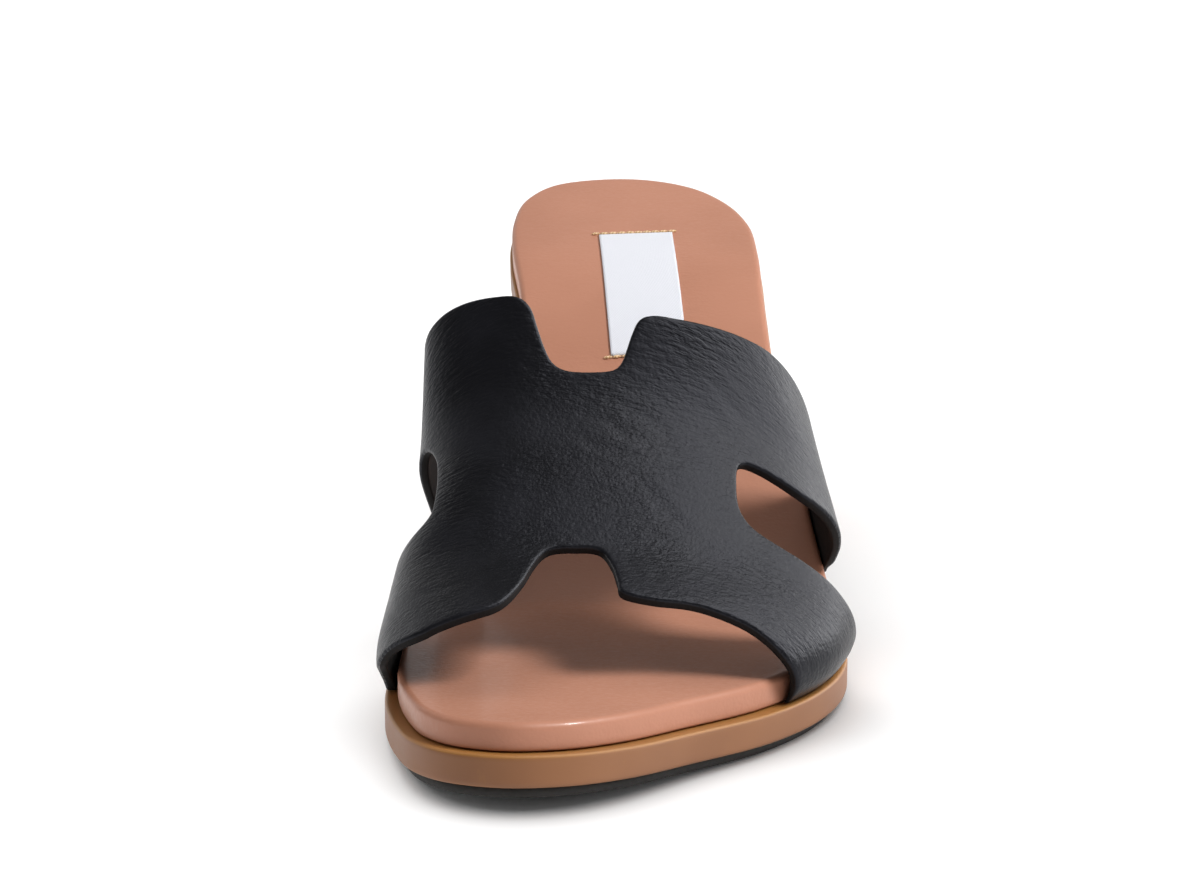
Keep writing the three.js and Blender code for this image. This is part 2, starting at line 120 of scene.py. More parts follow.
# Strap sections: along, height, peak, inner bulge, outer bulge
ARCH_ROWS = [
    (0.117, 0.25, -0.169, 0.004, 0.015), (0.208, 0.36, -0.19, 0.026, 0.04),
    (0.25, 0.457, -0.2, 0.017, 0.034), (0.292, 0.566, -0.211, 0.007, 0.022),
    (0.367, 0.768, -0.229, 0.045, 0.012), (0.433, 1, -0.245, 0.1, -0.006),
]
SQUARE_ROWS = [(0.117, 2.5, 1.95), (0.433, 2.8, 2.3)]
BULGE_RISE = (2.5, 0.75)

# Flare of the strap's inner side at its foot: along, millimetres outwards
FLARE_ROWS = [(0.117, 1.9), (0.16, 1.5), (0.22, 0.5), (0.3, 0), (0.5, 0)]
FLARE_HEIGHT = 15.0

# Strap pattern: share of the girth from the inner side, share of the footbed's length
TOE_OPENING = [
    (-0.05, 0.182), (0, 0.178), (0.045, 0.163), (0.1, 0.132), (0.185, 0.111), (0.255, 0.109),
    (0.325, 0.114), (0.372, 0.122), (0.391, 0.137), (0.4, 0.163), (0.404, 0.188), (0.42, 0.206),
    (0.465, 0.211), (0.503, 0.21), (0.534, 0.192), (0.561, 0.172), (0.589, 0.156),
    (0.65, 0.154), (0.715, 0.161), (0.805, 0.162), (0.895, 0.16), (0.95, 0.166), (1, 0.172),
    (1.05, 0.174),
]
OUTER_CUTOUT = [
    (1.05, 0.302), (1, 0.296), (0.95, 0.276), (0.9, 0.262), (0.85, 0.26), (0.805, 0.26),
    (0.76, 0.262), (0.725, 0.267), (0.703, 0.276), (0.69, 0.289), (0.684, 0.305),
    (0.682, 0.32), (0.688, 0.331), (0.71, 0.335), (0.765, 0.338), (0.8, 0.344),
    (0.845, 0.359), (0.88, 0.374), (0.93, 0.399), (0.965, 0.42), (1, 0.446), (1.05, 0.47),
]
REAR_EDGE = [
    (1.05, 0.532), (1, 0.516), (0.95, 0.498), (0.9, 0.483), (0.82, 0.465), (0.775, 0.455), (0.73, 0.446),
    (0.69, 0.437), (0.645, 0.429), (0.6, 0.423), (0.57, 0.42), (0.552, 0.415),
    (0.541, 0.405), (0.533, 0.395), (0.524, 0.385), (0.51, 0.379), (0.48, 0.376),
    (0.452, 0.376), (0.436, 0.381), (0.429, 0.391), (0.425, 0.403), (0.421, 0.415),
    (0.408, 0.422), (0.38, 0.426), (0.33, 0.434), (0.25, 0.446), (0.15, 0.462),
    (0.07, 0.477), (0, 0.485), (-0.05, 0.488),
]
INNER_CUTOUT = [
    (-0.05, 0.425), (0, 0.419), (0.08, 0.399), (0.15, 0.381), (0.195, 0.369),
    (0.227, 0.361), (0.246, 0.347), (0.254, 0.326), (0.25, 0.304), (0.241, 0.278),
    (0.229, 0.263), (0.197, 0.256), (0.14, 0.257), (0.08, 0.267), (0, 0.288), (-0.05, 0.293),
]
PATTERN_SPAN = 150.0

# Soft creases of the strap: both ends as (along mm, girth share), depth and half width in mm
CREASES = [
    ((86, 0.50), (79, 0.60), 0.09, 1.3), ((82, 0.47), (76, 0.57), 0.08, 1.2),
    ((77, 0.44), (72, 0.55), 0.1, 1.3), ((72, 0.46), (68, 0.56), 0.08, 1.2),
    ((68, 0.53), (60, 0.61), 0.09, 1.4), ((64, 0.58), (56, 0.65), 0.08, 1.3),
    ((88, 0.61), (83, 0.71), 0.07, 1.3), ((94, 0.62), (90, 0.71), 0.06, 1.2),
    ((60, 0.44), (55, 0.40), 0.05, 1.2), ((44, 0.76), (41, 0.87), 0.07, 1.3),
    ((50, 0.72), (47, 0.84), 0.06, 1.3), ((40, 0.19), (38, 0.32), 0.05, 1.3),
]


def ease(t):
    """Soft step from 0 to 1."""
    return t * t * (3 - 2 * t)


def follow(rows, column, at):
    """Smooth curve through a table's rows, without overshoot, straight past its ends."""
    table = np.array(rows, float)
    x, y = table[:, 0], table[:, column]
    at = np.asarray(at, float)
    rise = np.diff(y) / np.diff(x)
    tangent = np.empty_like(y)
    tangent[0], tangent[-1] = rise[0], rise[-1]
    for k in range(1, len(y) - 1):
        before, after = rise[k - 1], rise[k]
        tangent[k] = 0 if before * after <= 0 else 2 * before * after / (before + after)
    k = np.clip(np.searchsorted(x, at, side="left") - 1, 0, len(x) - 2)
    span = x[k + 1] - x[k]
    t = (at - x[k]) / span
    inside = y[k] * (1 - ease(t)) + y[k + 1] * ease(t) + span * (
        tangent[k] * t * (1 - t) ** 2 - tangent[k + 1] * t * t * (1 - t)
    )
    inside = np.where(at < x[0], y[0] + tangent[0] * (at - x[0]), inside)
    return np.where(at > x[-1], y[-1] + tangent[-1] * (at - x[-1]), inside)


def make_profile(steps=240):
    """Place and slope along the footbed, with the waist as steep as the heel's rise asks."""
    share = np.arange(steps + 1) / steps
    toe, waist, seat = (follow(SLOPE_ROWS, column, share) for column in (1, 2, 3))
    gentle, steep = 0.0, 80.0
    for _ in range(40):
        middle = (gentle + steep) / 2
        slope = np.radians(TOE_SLOPE * toe + middle * waist + SEAT_SLOPE * seat)
        mean = (slope[1:] + slope[:-1]) / 2
        step = FOOTBED_LENGTH / steps
        y = np.concatenate([[0], np.cumsum(np.cos(mean) * step)])
        z = np.concatenate([[0], np.cumsum(np.sin(mean) * step)])
        if z[-1] - z.min() < HEEL_RISE:
            gentle = middle
        else:
            steep = middle
    return share * FOOTBED_LENGTH, y, z - z.min() + BALL_LEVEL, slope


PROFILE = make_profile()


def profile_at(along):
    """Distance back, height and slope of the footbed's top."""
    along = np.asarray(along, float)
    inside = np.clip(along, 0, FOOTBED_LENGTH)
    y, z, slope = (np.interp(inside, PROFILE[0], PROFILE[k]) for k in (1, 2, 3))
    past = along - inside
    return y + past * np.cos(slope), z + past * np.sin(slope), slope


def bend(flat):
    """Flat points (along, across, above) laid on the bent sole."""
    y, z, slope = profile_at(flat[:, 0])
    above = flat[:, 2]
    return np.column_stack([flat[:, 1], y - above * np.sin(slope), z + above * np.cos(slope)])


def outline_point(points, t):
    """Closed centripetal curve through the outline's points."""
    count = len(points)
    place = count * t
    i = int(math.floor(place))
    weight = place - i
    p0, p1, p2, p3 = (points[(i + k) % count] for k in (-1, 0, 1, 2))
    d0, d1, d2 = (
        max(float(np.dot(b - a, b - a)) ** 0.25, 1e-4) for a, b in ((p0, p1), (p1, p2), (p2, p3))
    )
    m1 = ((p1 - p0) / d0 - (p2 - p0) / (d0 + d1) + (p2 - p1) / d1) * d1
    m2 = ((p2 - p1) / d1 - (p3 - p1) / (d1 + d2) + (p3 - p2) / d2) * d1
    square = -3 * p1 + 3 * p2 - 2 * m1 - m2
    cube = 2 * p1 - 2 * p2 + m1 + m2
    return p1 + weight * (m1 + weight * (square + weight * cube))


def make_outline(per_row):
    """The footbed's outline as two halves from toe to heel, and the way out at each point."""
    scale = np.array([FOOTBED_LENGTH, BALL_WIDTH])
    points = [np.array(TOE_TIP) * scale]
    points += [np.array((row[0], row[2])) * scale for row in OUTLINE_ROWS]
    points.append(np.array(HEEL_END) * scale)
    points += [np.array((row[0], row[1])) * scale for row in reversed(OUTLINE_ROWS)]
    half = (len(OUTLINE_ROWS) + 1) * per_row
    ring = np.array([outline_point(points, i / (2 * half)) for i in range(2 * half)])
    change = np.roll(ring, -1, 0) - np.roll(ring, 1, 0)
    out = np.column_stack([-change[:, 1], change[:, 0]])
    out /= np.linalg.norm(out, axis=1)[:, None]
    return ring, out, half


# The same curve, with more points for the mesh than for the solids' own construction
FINE_OUTLINE = make_outline(14)
CAD_OUTLINE = make_outline(4)


def grown(grow, outline=FINE_OUTLINE):
    """The outline grown outwards, as facing halves of (along, across)."""
    ring, out, half = outline
    points = ring + out * grow(ring[:, 0])[:, None]
    return points[: half + 1], np.vstack([points[:1], points[half:][::-1]])


def ledge_at(along):
    """How far the sole stands out past the footbed, in millimetres."""
    start, end = LEDGE_CHANGE
    t = ease(np.clip((along / FOOTBED_LENGTH - start) / (end - start), 0, 1))
    return LEDGE * (1 - t) + SEAT_LEDGE * t


def at_height(flat, above):
    """Flat points (along, across) with one height above the footbed's top."""
    return np.column_stack([flat, np.full(len(flat), float(above))])


def frame_shift():
    """How far the bent outline lies from the frame's own place."""
    rounding = 0.6
    ring = np.vstack(grown(ledge_at, CAD_OUTLINE))
    levels = (-FOOTBED_THICKNESS - rounding, -FOOTBED_THICKNESS - SOLE_THICKNESS + rounding)
    points = bend(np.vstack([at_height(ring, above) for above in levels]))
    middle = (points.min(0) + points.max(0)) / 2
    low, high = np.array(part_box("sole")) / MM
    shift = middle - (low + high) / 2
    return np.array([shift[0], shift[1], 0])


SHIFT = frame_shift()


def place(points):
    """Millimetres of the last to metres of the frame."""
    return (points - SHIFT) * MM


def new_piece(name, points, faces, materials, material_of=None, uv=None):
    """A smooth mesh from millimetre points, with doubled corners joined and faces turned outwards."""
    mesh = bpy.data.meshes.new(name)
    mesh.from_pydata([tuple(p) for p in place(points)], [], [tuple(int(i) for i in f) for f in faces])
    for material in materials:
        mesh.materials.append(material)
    if material_of is not None:
        mesh.polygons.foreach_set("material_index", np.asarray(material_of, np.int32))
    if uv is not None:
        layer = mesh.uv_layers.new(name="UVMap")
        corners = np.empty(len(mesh.loops), np.int32)
        mesh.loops.foreach_get("vertex_index", corners)
        layer.data.foreach_set("uv", np.asarray(uv, np.float32)[corners].ravel())
    mesh.update()
    mesh.validate()
    shape = bmesh.new()
    shape.from_mesh(mesh)
    bmesh.ops.remove_doubles(shape, verts=shape.verts, dist=DOUBLES)
    bmesh.ops.dissolve_degenerate(shape, edges=shape.edges, dist=DOUBLES)
    bmesh.ops.recalc_face_normals(shape, faces=shape.faces)
    shape.to_mesh(mesh)
    shape.free()
    mesh.shade_smooth()
    return linked(name, mesh)


def linked(name, data):
    """A new object of the scene."""
    made = bpy.data.objects.new(name, data)
    bpy.context.scene.collection.objects.link(made)
    return made


def ring_faces(rings, size):
    """Faces between closed rings of one size, each ring above the last."""
    faces = []
    for base in range(0, (rings - 1) * size, size):
        for i in range(size):
            j = (i + 1) % size
            faces.append((base + i, base + j, base + size + j, base + size + i))
    return faces


def layer_points(levels, across, end=None):
    """Rings and both caps of a flat layer. levels holds (grow, above) from the lowest up."""
    halves = []
    for grow, above in levels:
        lateral, medial = grown(grow)
        if end is not None:
            count = int(np.sum(lateral[:, 0] <= end))
            lateral, medial = lateral[:count], medial[:count]
        halves.append((lateral, medial, above))
    count = len(halves[0][0])
    points = [at_height(np.vstack([lateral, medial[::-1]]), above) for lateral, medial, above in halves]
    faces = ring_faces(len(halves), 2 * count)
    base = 2 * count * len(halves)
    t = np.linspace(0, 1, across + 1)[None, :, None]
    for lateral, medial, above in (halves[0], halves[-1]):
        grid = lateral[:, None, :] * (1 - t) + medial[:, None, :] * t
        points.append(at_height(grid.reshape(-1, 2), above))
        for i in range(count - 1):
            for j in range(across):
                a = base + i * (across + 1) + j
                faces.append((a, a + 1, a + across + 2, a + across + 1))
        base += count * (across + 1)
    return np.vstack(points), faces


def arch_grid():
    """Inner surface of the strap on a fine grid: section offsets over along and girth."""
    along = np.arange(16.0, 126.0, 0.5)
    girth = np.linspace(0, 1, 601)
    foot = grown(lambda a: np.full_like(a, CLEARANCE), CAD_OUTLINE)
    quarter = np.linspace(0, math.pi / 2, 121)
    across, above = [], []
    for at in along:
        share = at / FOOTBED_LENGTH
        slope = float(profile_at(at)[2])
        drop = (FOOTBED_THICKNESS - CLEARANCE) / math.cos(slope)
        edge = [float(np.interp(at, half[:, 0], half[:, 1])) for half in (foot[1], foot[0])]
        lower = [float(np.interp(at - drop * math.sin(slope), half[:, 0], half[:, 1]))
                 for half in (foot[1], foot[0])]
        high = INSTEP_HEIGHT * float(follow(ARCH_ROWS, 1, share))
        peak = BALL_WIDTH * float(follow(ARCH_ROWS, 2, share))
        sides = []
        for side, out in ((0, -1), (1, 1)):
            bulge = BALL_WIDTH * float(follow(ARCH_ROWS, 3 + side, share))
            flare = float(follow(FLARE_ROWS, 1, share)) if side == 0 else 0
            power = 2 / float(follow(SQUARE_ROWS, 1 + side, share))
            reach = np.maximum(np.cos(quarter), 0) ** power
            climb = np.minimum(np.sin(quarter) ** power, 1)
            up = np.concatenate([np.linspace(-drop, 0, 9)[:-1], high * climb])
            wall = np.concatenate([
                np.linspace(lower[side], edge[side], 9)[:-1],
                peak + (edge[side] - peak) * reach,
            ])
            foot_up = drop if bulge > 0 else 0
            rise = BULGE_RISE[side] if bulge > 0 else 1
            share_up = np.clip((up + foot_up) / (high + foot_up), 0, 1)
            wall += out * bulge * np.sin(math.pi * share_up**rise)
            wall += out * flare * np.sin(math.pi * np.clip((up + drop) / FLARE_HEIGHT, 0, 1))
            sides.append(np.column_stack([wall, up]))
        section = np.vstack([sides[0], sides[1][::-1][1:]])
        run = np.concatenate([[0], np.cumsum(np.linalg.norm(np.diff(section, axis=0), axis=1))])
        across.append(np.interp(girth * run[-1], run, section[:, 0]))
        above.append(np.interp(girth * run[-1], run, section[:, 1]))
    y, z, _ = profile_at(along)
    across, above = np.array(across), np.array(above)
    surface = np.stack([across, np.repeat(y[:, None], len(girth), 1), above + z[:, None]], -1)
    return along, girth, surface


def strap_sheet():
    """The strap's inner surface and its outward directions, on the grid."""
    along, girth, surface = arch_grid()
    reach = 6
    index = np.arange(len(girth))
    ahead = np.gradient(surface, axis=0)
    over = surface[:, np.minimum(index + reach, len(girth) - 1)] - surface[:, np.maximum(index - reach, 0)]
    out = np.cross(over, ahead)
    out /= np.linalg.norm(out, axis=-1, keepdims=True)
    out[..., 2] = np.maximum(out[..., 2], 0)
    out /= np.linalg.norm(out, axis=-1, keepdims=True)
    return along, girth, surface, out


def on_sheet(sheet, along, girth, depth):
    """Points of the strap at places along, shares of the girth and depths in the leather."""
    rows, columns, surface, out = sheet
    i = np.clip((along - rows[0]) / (rows[1] - rows[0]), 0, len(rows) - 1.001)
    j = np.clip(girth, 0, 1) * (len(columns) - 1.001)
    i0, j0 = i.astype(int), j.astype(int)
    s, t = (i - i0)[:, None], (j - j0)[:, None]

    def mix(grid):
        near = grid[i0, j0] * (1 - t) + grid[i0, j0 + 1] * t
        far = grid[i0 + 1, j0] * (1 - t) + grid[i0 + 1, j0 + 1] * t
        return near * (1 - s) + far * s

    return mix(surface) + mix(out) * depth[:, None]


def spline_through(rows, steps):
    """Uniform curve through the rows of an edge of the pattern."""
    points = np.array(rows, float)[:, ::-1] * np.array([FOOTBED_LENGTH, PATTERN_SPAN])
    last = len(points) - 1
    found = []
    for k in range(last * steps + 1):
        at = min(k / steps, last - 1e-9)
        i = int(at)
        w = at - i
        p0, p1, p2, p3 = (points[min(max(i + near, 0), last)] for near in (-1, 0, 1, 2))
        m0, m1 = (p2 - p0) / 2, (p3 - p1) / 2
        cube, square = 2 * p1 - 2 * p2 + m0 + m1, -3 * p1 + 3 * p2 - 2 * m0 - m1
        found.append(cube * w**3 + square * w**2 + m0 * w + p1)
    return found


def clip_to_span(points):
    """Cuts the pattern's outline off at both ends of the girth."""
    for sign, limit in ((1, PATTERN_SPAN), (-1, 0.0)):
        kept = []
        for a, b in zip(points, points[1:] + points[:1]):
            inside_a, inside_b = sign * a[1] <= sign * limit, sign * b[1] <= sign * limit
            if inside_a:
                kept.append(a)
            if inside_a != inside_b:
                t = (limit - a[1]) / (b[1] - a[1])
                kept.append(a + (b - a) * t)
        points = kept
    return points


def even_loop(points, spacing):
    """A closed outline with evenly spaced points that keeps its sharp corners."""
    sharp = 0.7
    loop = np.array(points)
    loop = loop[np.linalg.norm(loop - np.roll(loop, 1, 0), axis=1) > 1e-6]
    before, after = loop - np.roll(loop, 1, 0), np.roll(loop, -1, 0) - loop
    lengths = np.linalg.norm(before, axis=1) * np.linalg.norm(after, axis=1)
    corners = np.where(np.sum(before * after, 1) / lengths < sharp)[0]
    found = []
    for a, b in zip(corners, np.roll(corners, -1)):
        run = loop[np.arange(a, b + 1 if b > a else b + 1 + len(loop)) % len(loop)]
        length = np.concatenate([[0], np.cumsum(np.linalg.norm(np.diff(run, axis=0), axis=1))])
        count = max(2, int(round(length[-1] / spacing)))
        at = np.linspace(0, length[-1], count + 1)[:-1]
        found.append(np.column_stack([np.interp(at, length, column) for column in run.T]))
    return np.vstack(found)


def inwards(loop):
    """Direction into the pattern at each point of its outline."""
    change = np.roll(loop, -1, 0) - np.roll(loop, 1, 0)
    normal = np.column_stack([-change[:, 1], change[:, 0]])
    normal /= np.linalg.norm(normal, axis=1)[:, None]
    area = np.sum(loop[:, 0] * np.roll(loop[:, 1], -1) - np.roll(loop[:, 0], -1) * loop[:, 1])
    return normal if area > 0 else -normal


def inside_loop(points, loop):
    """Which points lie inside a closed outline."""
    x, y = points[:, 0], points[:, 1]
    inside = np.zeros(len(points), bool)
    for a, b in zip(loop, np.roll(loop, -1, 0)):
        crosses = (a[1] > y) != (b[1] > y)
        if not crosses.any():
            continue
        at = a[0] + (y - a[1]) / ((b[1] - a[1]) or 1e-12) * (b[0] - a[0])
        inside ^= crosses & (x < at)
    return inside


def far_from_loop(points, loop, distance):
    """Which points keep a distance from every point of an outline."""
    keep = np.ones(len(points), bool)
    for start in range(0, len(points), 2000):
        block = points[start : start + 2000]
        gap = np.min(np.linalg.norm(block[:, None] - loop[None], axis=2), axis=1)
        keep[start : start + 2000] = gap > distance
    return keep


def crease_relief(along, girth):
    """Depth of the strap's soft creases, in millimetres below the smooth leather."""
    sway, ridge = 0.9, 0.45
    points = np.column_stack([along, girth])
    total = np.zeros(len(along))
    for start, finish, depth, width in CREASES:
        a, b = (np.array([end[0], end[1] * PATTERN_SPAN]) for end in (start, finish))
        run = b - a
        t = np.clip(((points - a) @ run) / (run @ run), 0, 1)
        wave = sway * np.sin(t * 7 + a[0])[:, None] * np.array([1, 0])
        gap = np.linalg.norm(points - (a + t[:, None] * run + wave), axis=1)
        fade = np.sin(np.pi * np.clip(t, 0.02, 0.98))
        total -= depth * fade * (np.exp(-((gap / width) ** 2)) - ridge * np.exp(-((gap / width - 2) ** 2)))
    return total


def thinned(girth):
    """Share of the leather's thickness that is left towards the strap's outer foot."""
    return 1 - THINNED_BY * ease(np.clip((girth - THINNED_FROM) / (1 - THINNED_FROM), 0, 1))


# Materials -------------------------------------------------------------------------


class Finish:
    """A procedural material and the short ways to add and join its nodes."""

    def __init__(self, name):
        self.material = bpy.data.materials.new(name)
        self.material.use_nodes = True
        self.tree = self.material.node_tree
        self.shader = self.tree.nodes["Principled BSDF"]

    def feed(self, socket, value):
        """Gives an input another node's output, a number or a colour."""
        if isinstance(value, bpy.types.NodeSocket):
            self.tree.links.new(value, socket)
        elif isinstance(value, (int, float)):
            socket.default_value = value
        else:
            socket.default_value = (*value[:3], 1.0)

    def add(self, kind, **values):
        """A node with its inputs or its own settings by name; an underscore stands for a space."""
        node = self.tree.nodes.new(kind)
        for key, value in values.items():
            socket = node.inputs.get(key.replace("_", " "))
            if socket is None:
                setattr(node, key, value)
            else:
                self.feed(socket, value)
        return node

    def coordinates(self, kind="Object", scale=(1, 1, 1), turn=(0, 0, 0)):
        start = self.add("ShaderNodeTexCoord")
        mapping = self.add("ShaderNodeMapping", Vector=start.outputs[kind])
        mapping.inputs["Scale"].default_value = scale
        mapping.inputs["Rotation"].default_value = turn
        return mapping.outputs["Vector"]

    def noise(self, vector, scale, detail=3.0, roughness=0.5, distortion=0.0):
        return self.add("ShaderNodeTexNoise", Vector=vector, Scale=scale, Detail=detail,
                        Roughness=roughness, Distortion=distortion).outputs["Fac"]

    def cells(self, vector, scale, feature="F1"):
        return self.add("ShaderNodeTexVoronoi", feature=feature, Vector=vector, Scale=scale).outputs["Distance"]

    def ramp(self, value, low, high, out_low=0.0, out_high=1.0):
        return self.add("ShaderNodeMapRange", interpolation_type="SMOOTHSTEP", Value=value, From_Min=low,
                        From_Max=high, To_Min=out_low, To_Max=out_high).outputs["Result"]

    def math(self, operation, a, b):
        node = self.add("ShaderNodeMath", operation=operation)
        for socket, value in zip(node.inputs, (a, b)):
            self.feed(socket, value)
        return node.outputs[0]

    def sum(self, a, share_a, b, share_b):
        """Two heights added, each with its share."""
        return self.math("ADD", self.math("MULTIPLY", a, share_a), self.math("MULTIPLY", b, share_b))

    def mix(self, amount, first, second):
        node = self.add("ShaderNodeMix", data_type="RGBA")
        for socket, value in zip((node.inputs[0], *node.inputs[6:8]), (amount, first, second)):
            self.feed(socket, value)
        return node.outputs[2]

    def bump(self, height, distance, strength=1.0, normal=None):
        node = self.add("ShaderNodeBump", Strength=strength, Distance=distance, Height=height)
        if normal is not None:
            self.feed(node.inputs["Normal"], normal)
        return node.outputs["Normal"]

    def set(self, **values):
        """Sets the shader's own inputs and hands the material back."""
        for key, value in values.items():
            self.feed(self.shader.inputs[key.replace("_", " ")], value)
        return self.material


def strap_leather(settings):
    """Black leather with a fine pebbled grain and patches of tiny drawn wrinkles."""
    f = Finish("black_strap_leather")
    along = f.coordinates("UV")
    drawn = f.coordinates("UV", (1.0, 0.22, 1.0), (0, 0, 0.22))
    slanting = f.coordinates("UV", (1.0, 0.25, 1.0), (0, 0, -0.75))
    pebbles = f.cells(along, 1500.0, "SMOOTH_F1")
    broad = f.noise(along, 60.0)
    wrinkle = f.ramp(f.noise(drawn, 1500.0, 3.0, 0.55, 0.35), 0.35, 0.6)
    crossing = f.ramp(f.noise(slanting, 1250.0, 3.0, 0.55, 0.4), 0.35, 0.62, 0.0, 0.6)
    patch = f.ramp(f.noise(along, 34.0, 2.0), 0.42, 0.62, 0.15, 1.0)
    other = f.ramp(f.noise(along, 29.0, 2.0), 0.6, 0.42, 0.1, 1.0)
    lines = f.math("ADD", f.math("MULTIPLY", wrinkle, patch), f.math("MULTIPLY", crossing, other))
    low = f.bump(f.sum(pebbles, 0.6, f.noise(along, 2600.0, 2.0), 0.3), 0.00014, 0.65)
    middle = f.bump(lines, 0.00014, 0.55, low)
    top = f.bump(f.noise(along, 140.0, 2.0, 0.5, 0.2), 0.0006, 0.05, middle)
    return f.set(
        Base_Color=f.mix(f.ramp(broad, 0.35, 0.7), settings.leather_dark, settings.leather_light),
        Roughness=f.ramp(f.math("ADD", f.math("MULTIPLY", pebbles, 0.5), broad), 0.3, 1.0, 0.3, 0.4),
        Normal=top,
        Specular_IOR_Level=0.24,
        Specular_Tint=(0.86, 0.88, 1.0),
    )


def strap_edge():
    """Painted cut edge: matt black with faint fibres."""
    f = Finish("black_cut_edge")
    fibres = f.noise(f.coordinates(), 1800.0)
    tone = f.mix(fibres, (0.003, 0.003, 0.003), (0.009, 0.008, 0.008))
    return f.set(Base_Color=tone, Roughness=0.7, Specular_IOR_Level=0.2, Normal=f.bump(fibres, 0.0001, 0.5))


def strap_lining():
    """Dark lining with a short nap."""
    f = Finish("dark_lining")
    space = f.coordinates()
    nap = f.noise(space, 1500.0, 4.0)
    tone = f.mix(f.noise(space, 70.0, 2.0), (0.006, 0.006, 0.006), (0.016, 0.015, 0.015))
    return f.set(Base_Color=tone, Roughness=0.85, Specular_IOR_Level=0.2, Normal=f.bump(nap, 0.0001, 0.5))


def footbed_leather(settings):
    """Smooth tan leather over padding: faint pores, soft clouds and small wrinkles."""
    f = Finish("tan_footbed_leather")
    space = f.coordinates()
    grain = f.noise(space, 900.0, 3.0, 0.6)
    cloud = f.ramp(f.noise(space, 22.0), 0.3, 0.7)
    wrinkle = f.noise(f.coordinates("Object", (0.35, 1.0, 1.0), (0, 0, 0.3)), 420.0, 3.0, 0.6, 0.8)
    low = f.bump(f.sum(f.cells(space, 1300.0), 0.4, grain, 0.5), 0.0001, 0.6)
    return f.set(
        Base_Color=f.mix(cloud, settings.leather_dark, settings.leather_light),
        Roughness=f.ramp(grain, 0.3, 0.7, 0.42, 0.52),
        Normal=f.bump(wrinkle, 0.00022, 0.3, low),
        Specular_IOR_Level=0.3,
        Coat_Weight=0.16,
        Coat_Roughness=0.14,
    )


def sole_leather(settings, name="brown_sole_leather"):
    """Brown sole edge with fine drawn lines and scuffs; its upper corner and the faces that look up take a golden
    tone, which is painted highlight from light above.
    """
    f = Finish(name)
    lines = f.noise(f.coordinates("Object", (0.12, 0.12, 1.0)), 900.0, 2.0, 0.6)
    cloud = f.noise(f.coordinates(), 30.0, 4.0)
    scuff = f.ramp(f.noise(f.coordinates("Object", (1, 1, 0.4)), 260.0, 4.0, 0.7), 0.62, 0.8)
    side = f.mix(f.ramp(cloud, 0.3, 0.7), settings.side_dark, settings.side_light)
    side = f.mix(f.math("MULTIPLY", scuff, 0.35), side, settings.edge)
    painted_highlight_facing = f.add("ShaderNodeSeparateXYZ", Vector=f.add("ShaderNodeNewGeometry").outputs["Normal"])
    return f.set(
        # Faces that look up are golden: painted highlight where light from above falls on the ledge and corner.
        Base_Color=f.mix(f.ramp(painted_highlight_facing.outputs["Z"], 0.15, 0.75), side, settings.edge),
        Roughness=f.ramp(cloud, 0.3, 0.7, 0.42, 0.55),
        Normal=f.bump(f.sum(lines, 0.6, scuff, -0.4), 0.0001, 0.35),
    )


def tread_rubber(name="dark_tread_rubber"):
    """Matt dark rubber with a fine stipple."""
    f = Finish(name)
    space = f.coordinates()
    tone = f.mix(f.noise(space, 60.0), (0.012, 0.011, 0.01), (0.03, 0.028, 0.026))
    return f.set(Base_Color=tone, Roughness=0.75, Normal=f.bump(f.cells(space, 900.0), 0.00018, 0.6))


def woven_tape(settings):
    """White woven tape: a fine over-and-under weave from the label's own UV map, darker in the weave's low points as
    painted shade between the threads.
    """
    f = Finish("white_woven_tape")
    space = f.coordinates("UV")
    split = f.add("ShaderNodeSeparateXYZ", Vector=space)
    threads = 2 * math.pi / (settings.thread_pitch * MM)
    warp, weft = (f.math("SINE", f.math("MULTIPLY", split.outputs[axis], threads), 0) for axis in "XY")
    height = f.sum(f.math("MULTIPLY", warp, weft), 1, f.noise(space, 1600.0), 0.5)
    # The tone follows the weave's height: painted shade in the low points between the threads.
    tone = f.mix(f.ramp(height, -1.0, 1.2), settings.tape_painted_shade, settings.tape_light)
    return f.set(Base_Color=tone, Roughness=0.62, Normal=f.bump(height, 0.00006, 0.5), Sheen_Weight=0.15)


def cream_thread(settings):
    """Twisted cream thread, darker in the twist's grooves as painted shade."""
    f = Finish("cream_thread")
    space = f.coordinates("Object", (1, 1, 1), (0, 0, 0.7))
    twist = f.add("ShaderNodeTexWave", Vector=space, Scale=700.0, Distortion=0.6).outputs["Fac"]
    # The tone follows the twist's grooves: painted shade in them.
    tone = f.mix(twist, settings.thread_painted_shade, settings.thread_light)
    return f.set(Base_Color=tone, Roughness=0.5, Normal=f.bump(twist, 0.0001, 0.4))


def pale_floor(settings):
    """Matt, nearly white floor with the slightest unevenness."""
    f = Finish("pale_floor")
    lighter = [min(part * 1.01, 1) for part in settings.floor_colour]
    tone = f.mix(f.noise(f.coordinates(), 6.0, 2.0), settings.floor_colour, lighter)
    return f.set(Base_Color=tone, Roughness=0.9, Specular_IOR_Level=0.2)


# Sizes and colours a user would change -------------------------------------------


def shade(name, about, default):
    return FloatVectorProperty(
        name=name, description=about, default=default, subtype="COLOR", size=3, min=0, max=1
    )


def number(name, about, default, low, high, **kind):
    return FloatProperty(name=name, description=about, default=default, min=low, max=high, **kind)


def power(name, about, default):
    return number(name, f"Power of the {about}", default, 0, 500, unit="POWER")


class SandalStrapSettings(bpy.types.PropertyGroup):
    """Sizes and colours of the strap."""

    point_spacing: number("Point spacing", "Spacing of the mesh on the flat pattern, in millimetres", 1.0, 0.4, 4)
    edge_round: number("Edge rounding", "Radius of the strap's outer edge, in millimetres", 0.6, 0.1, 0.9)
    leather_dark: shade("Leather, dark", "Darker tone of the strap's leather", (0.004, 0.004, 0.005))
    leather_light: shade("Leather, light", "Lighter tone of the strap's leather", (0.007, 0.007, 0.009))


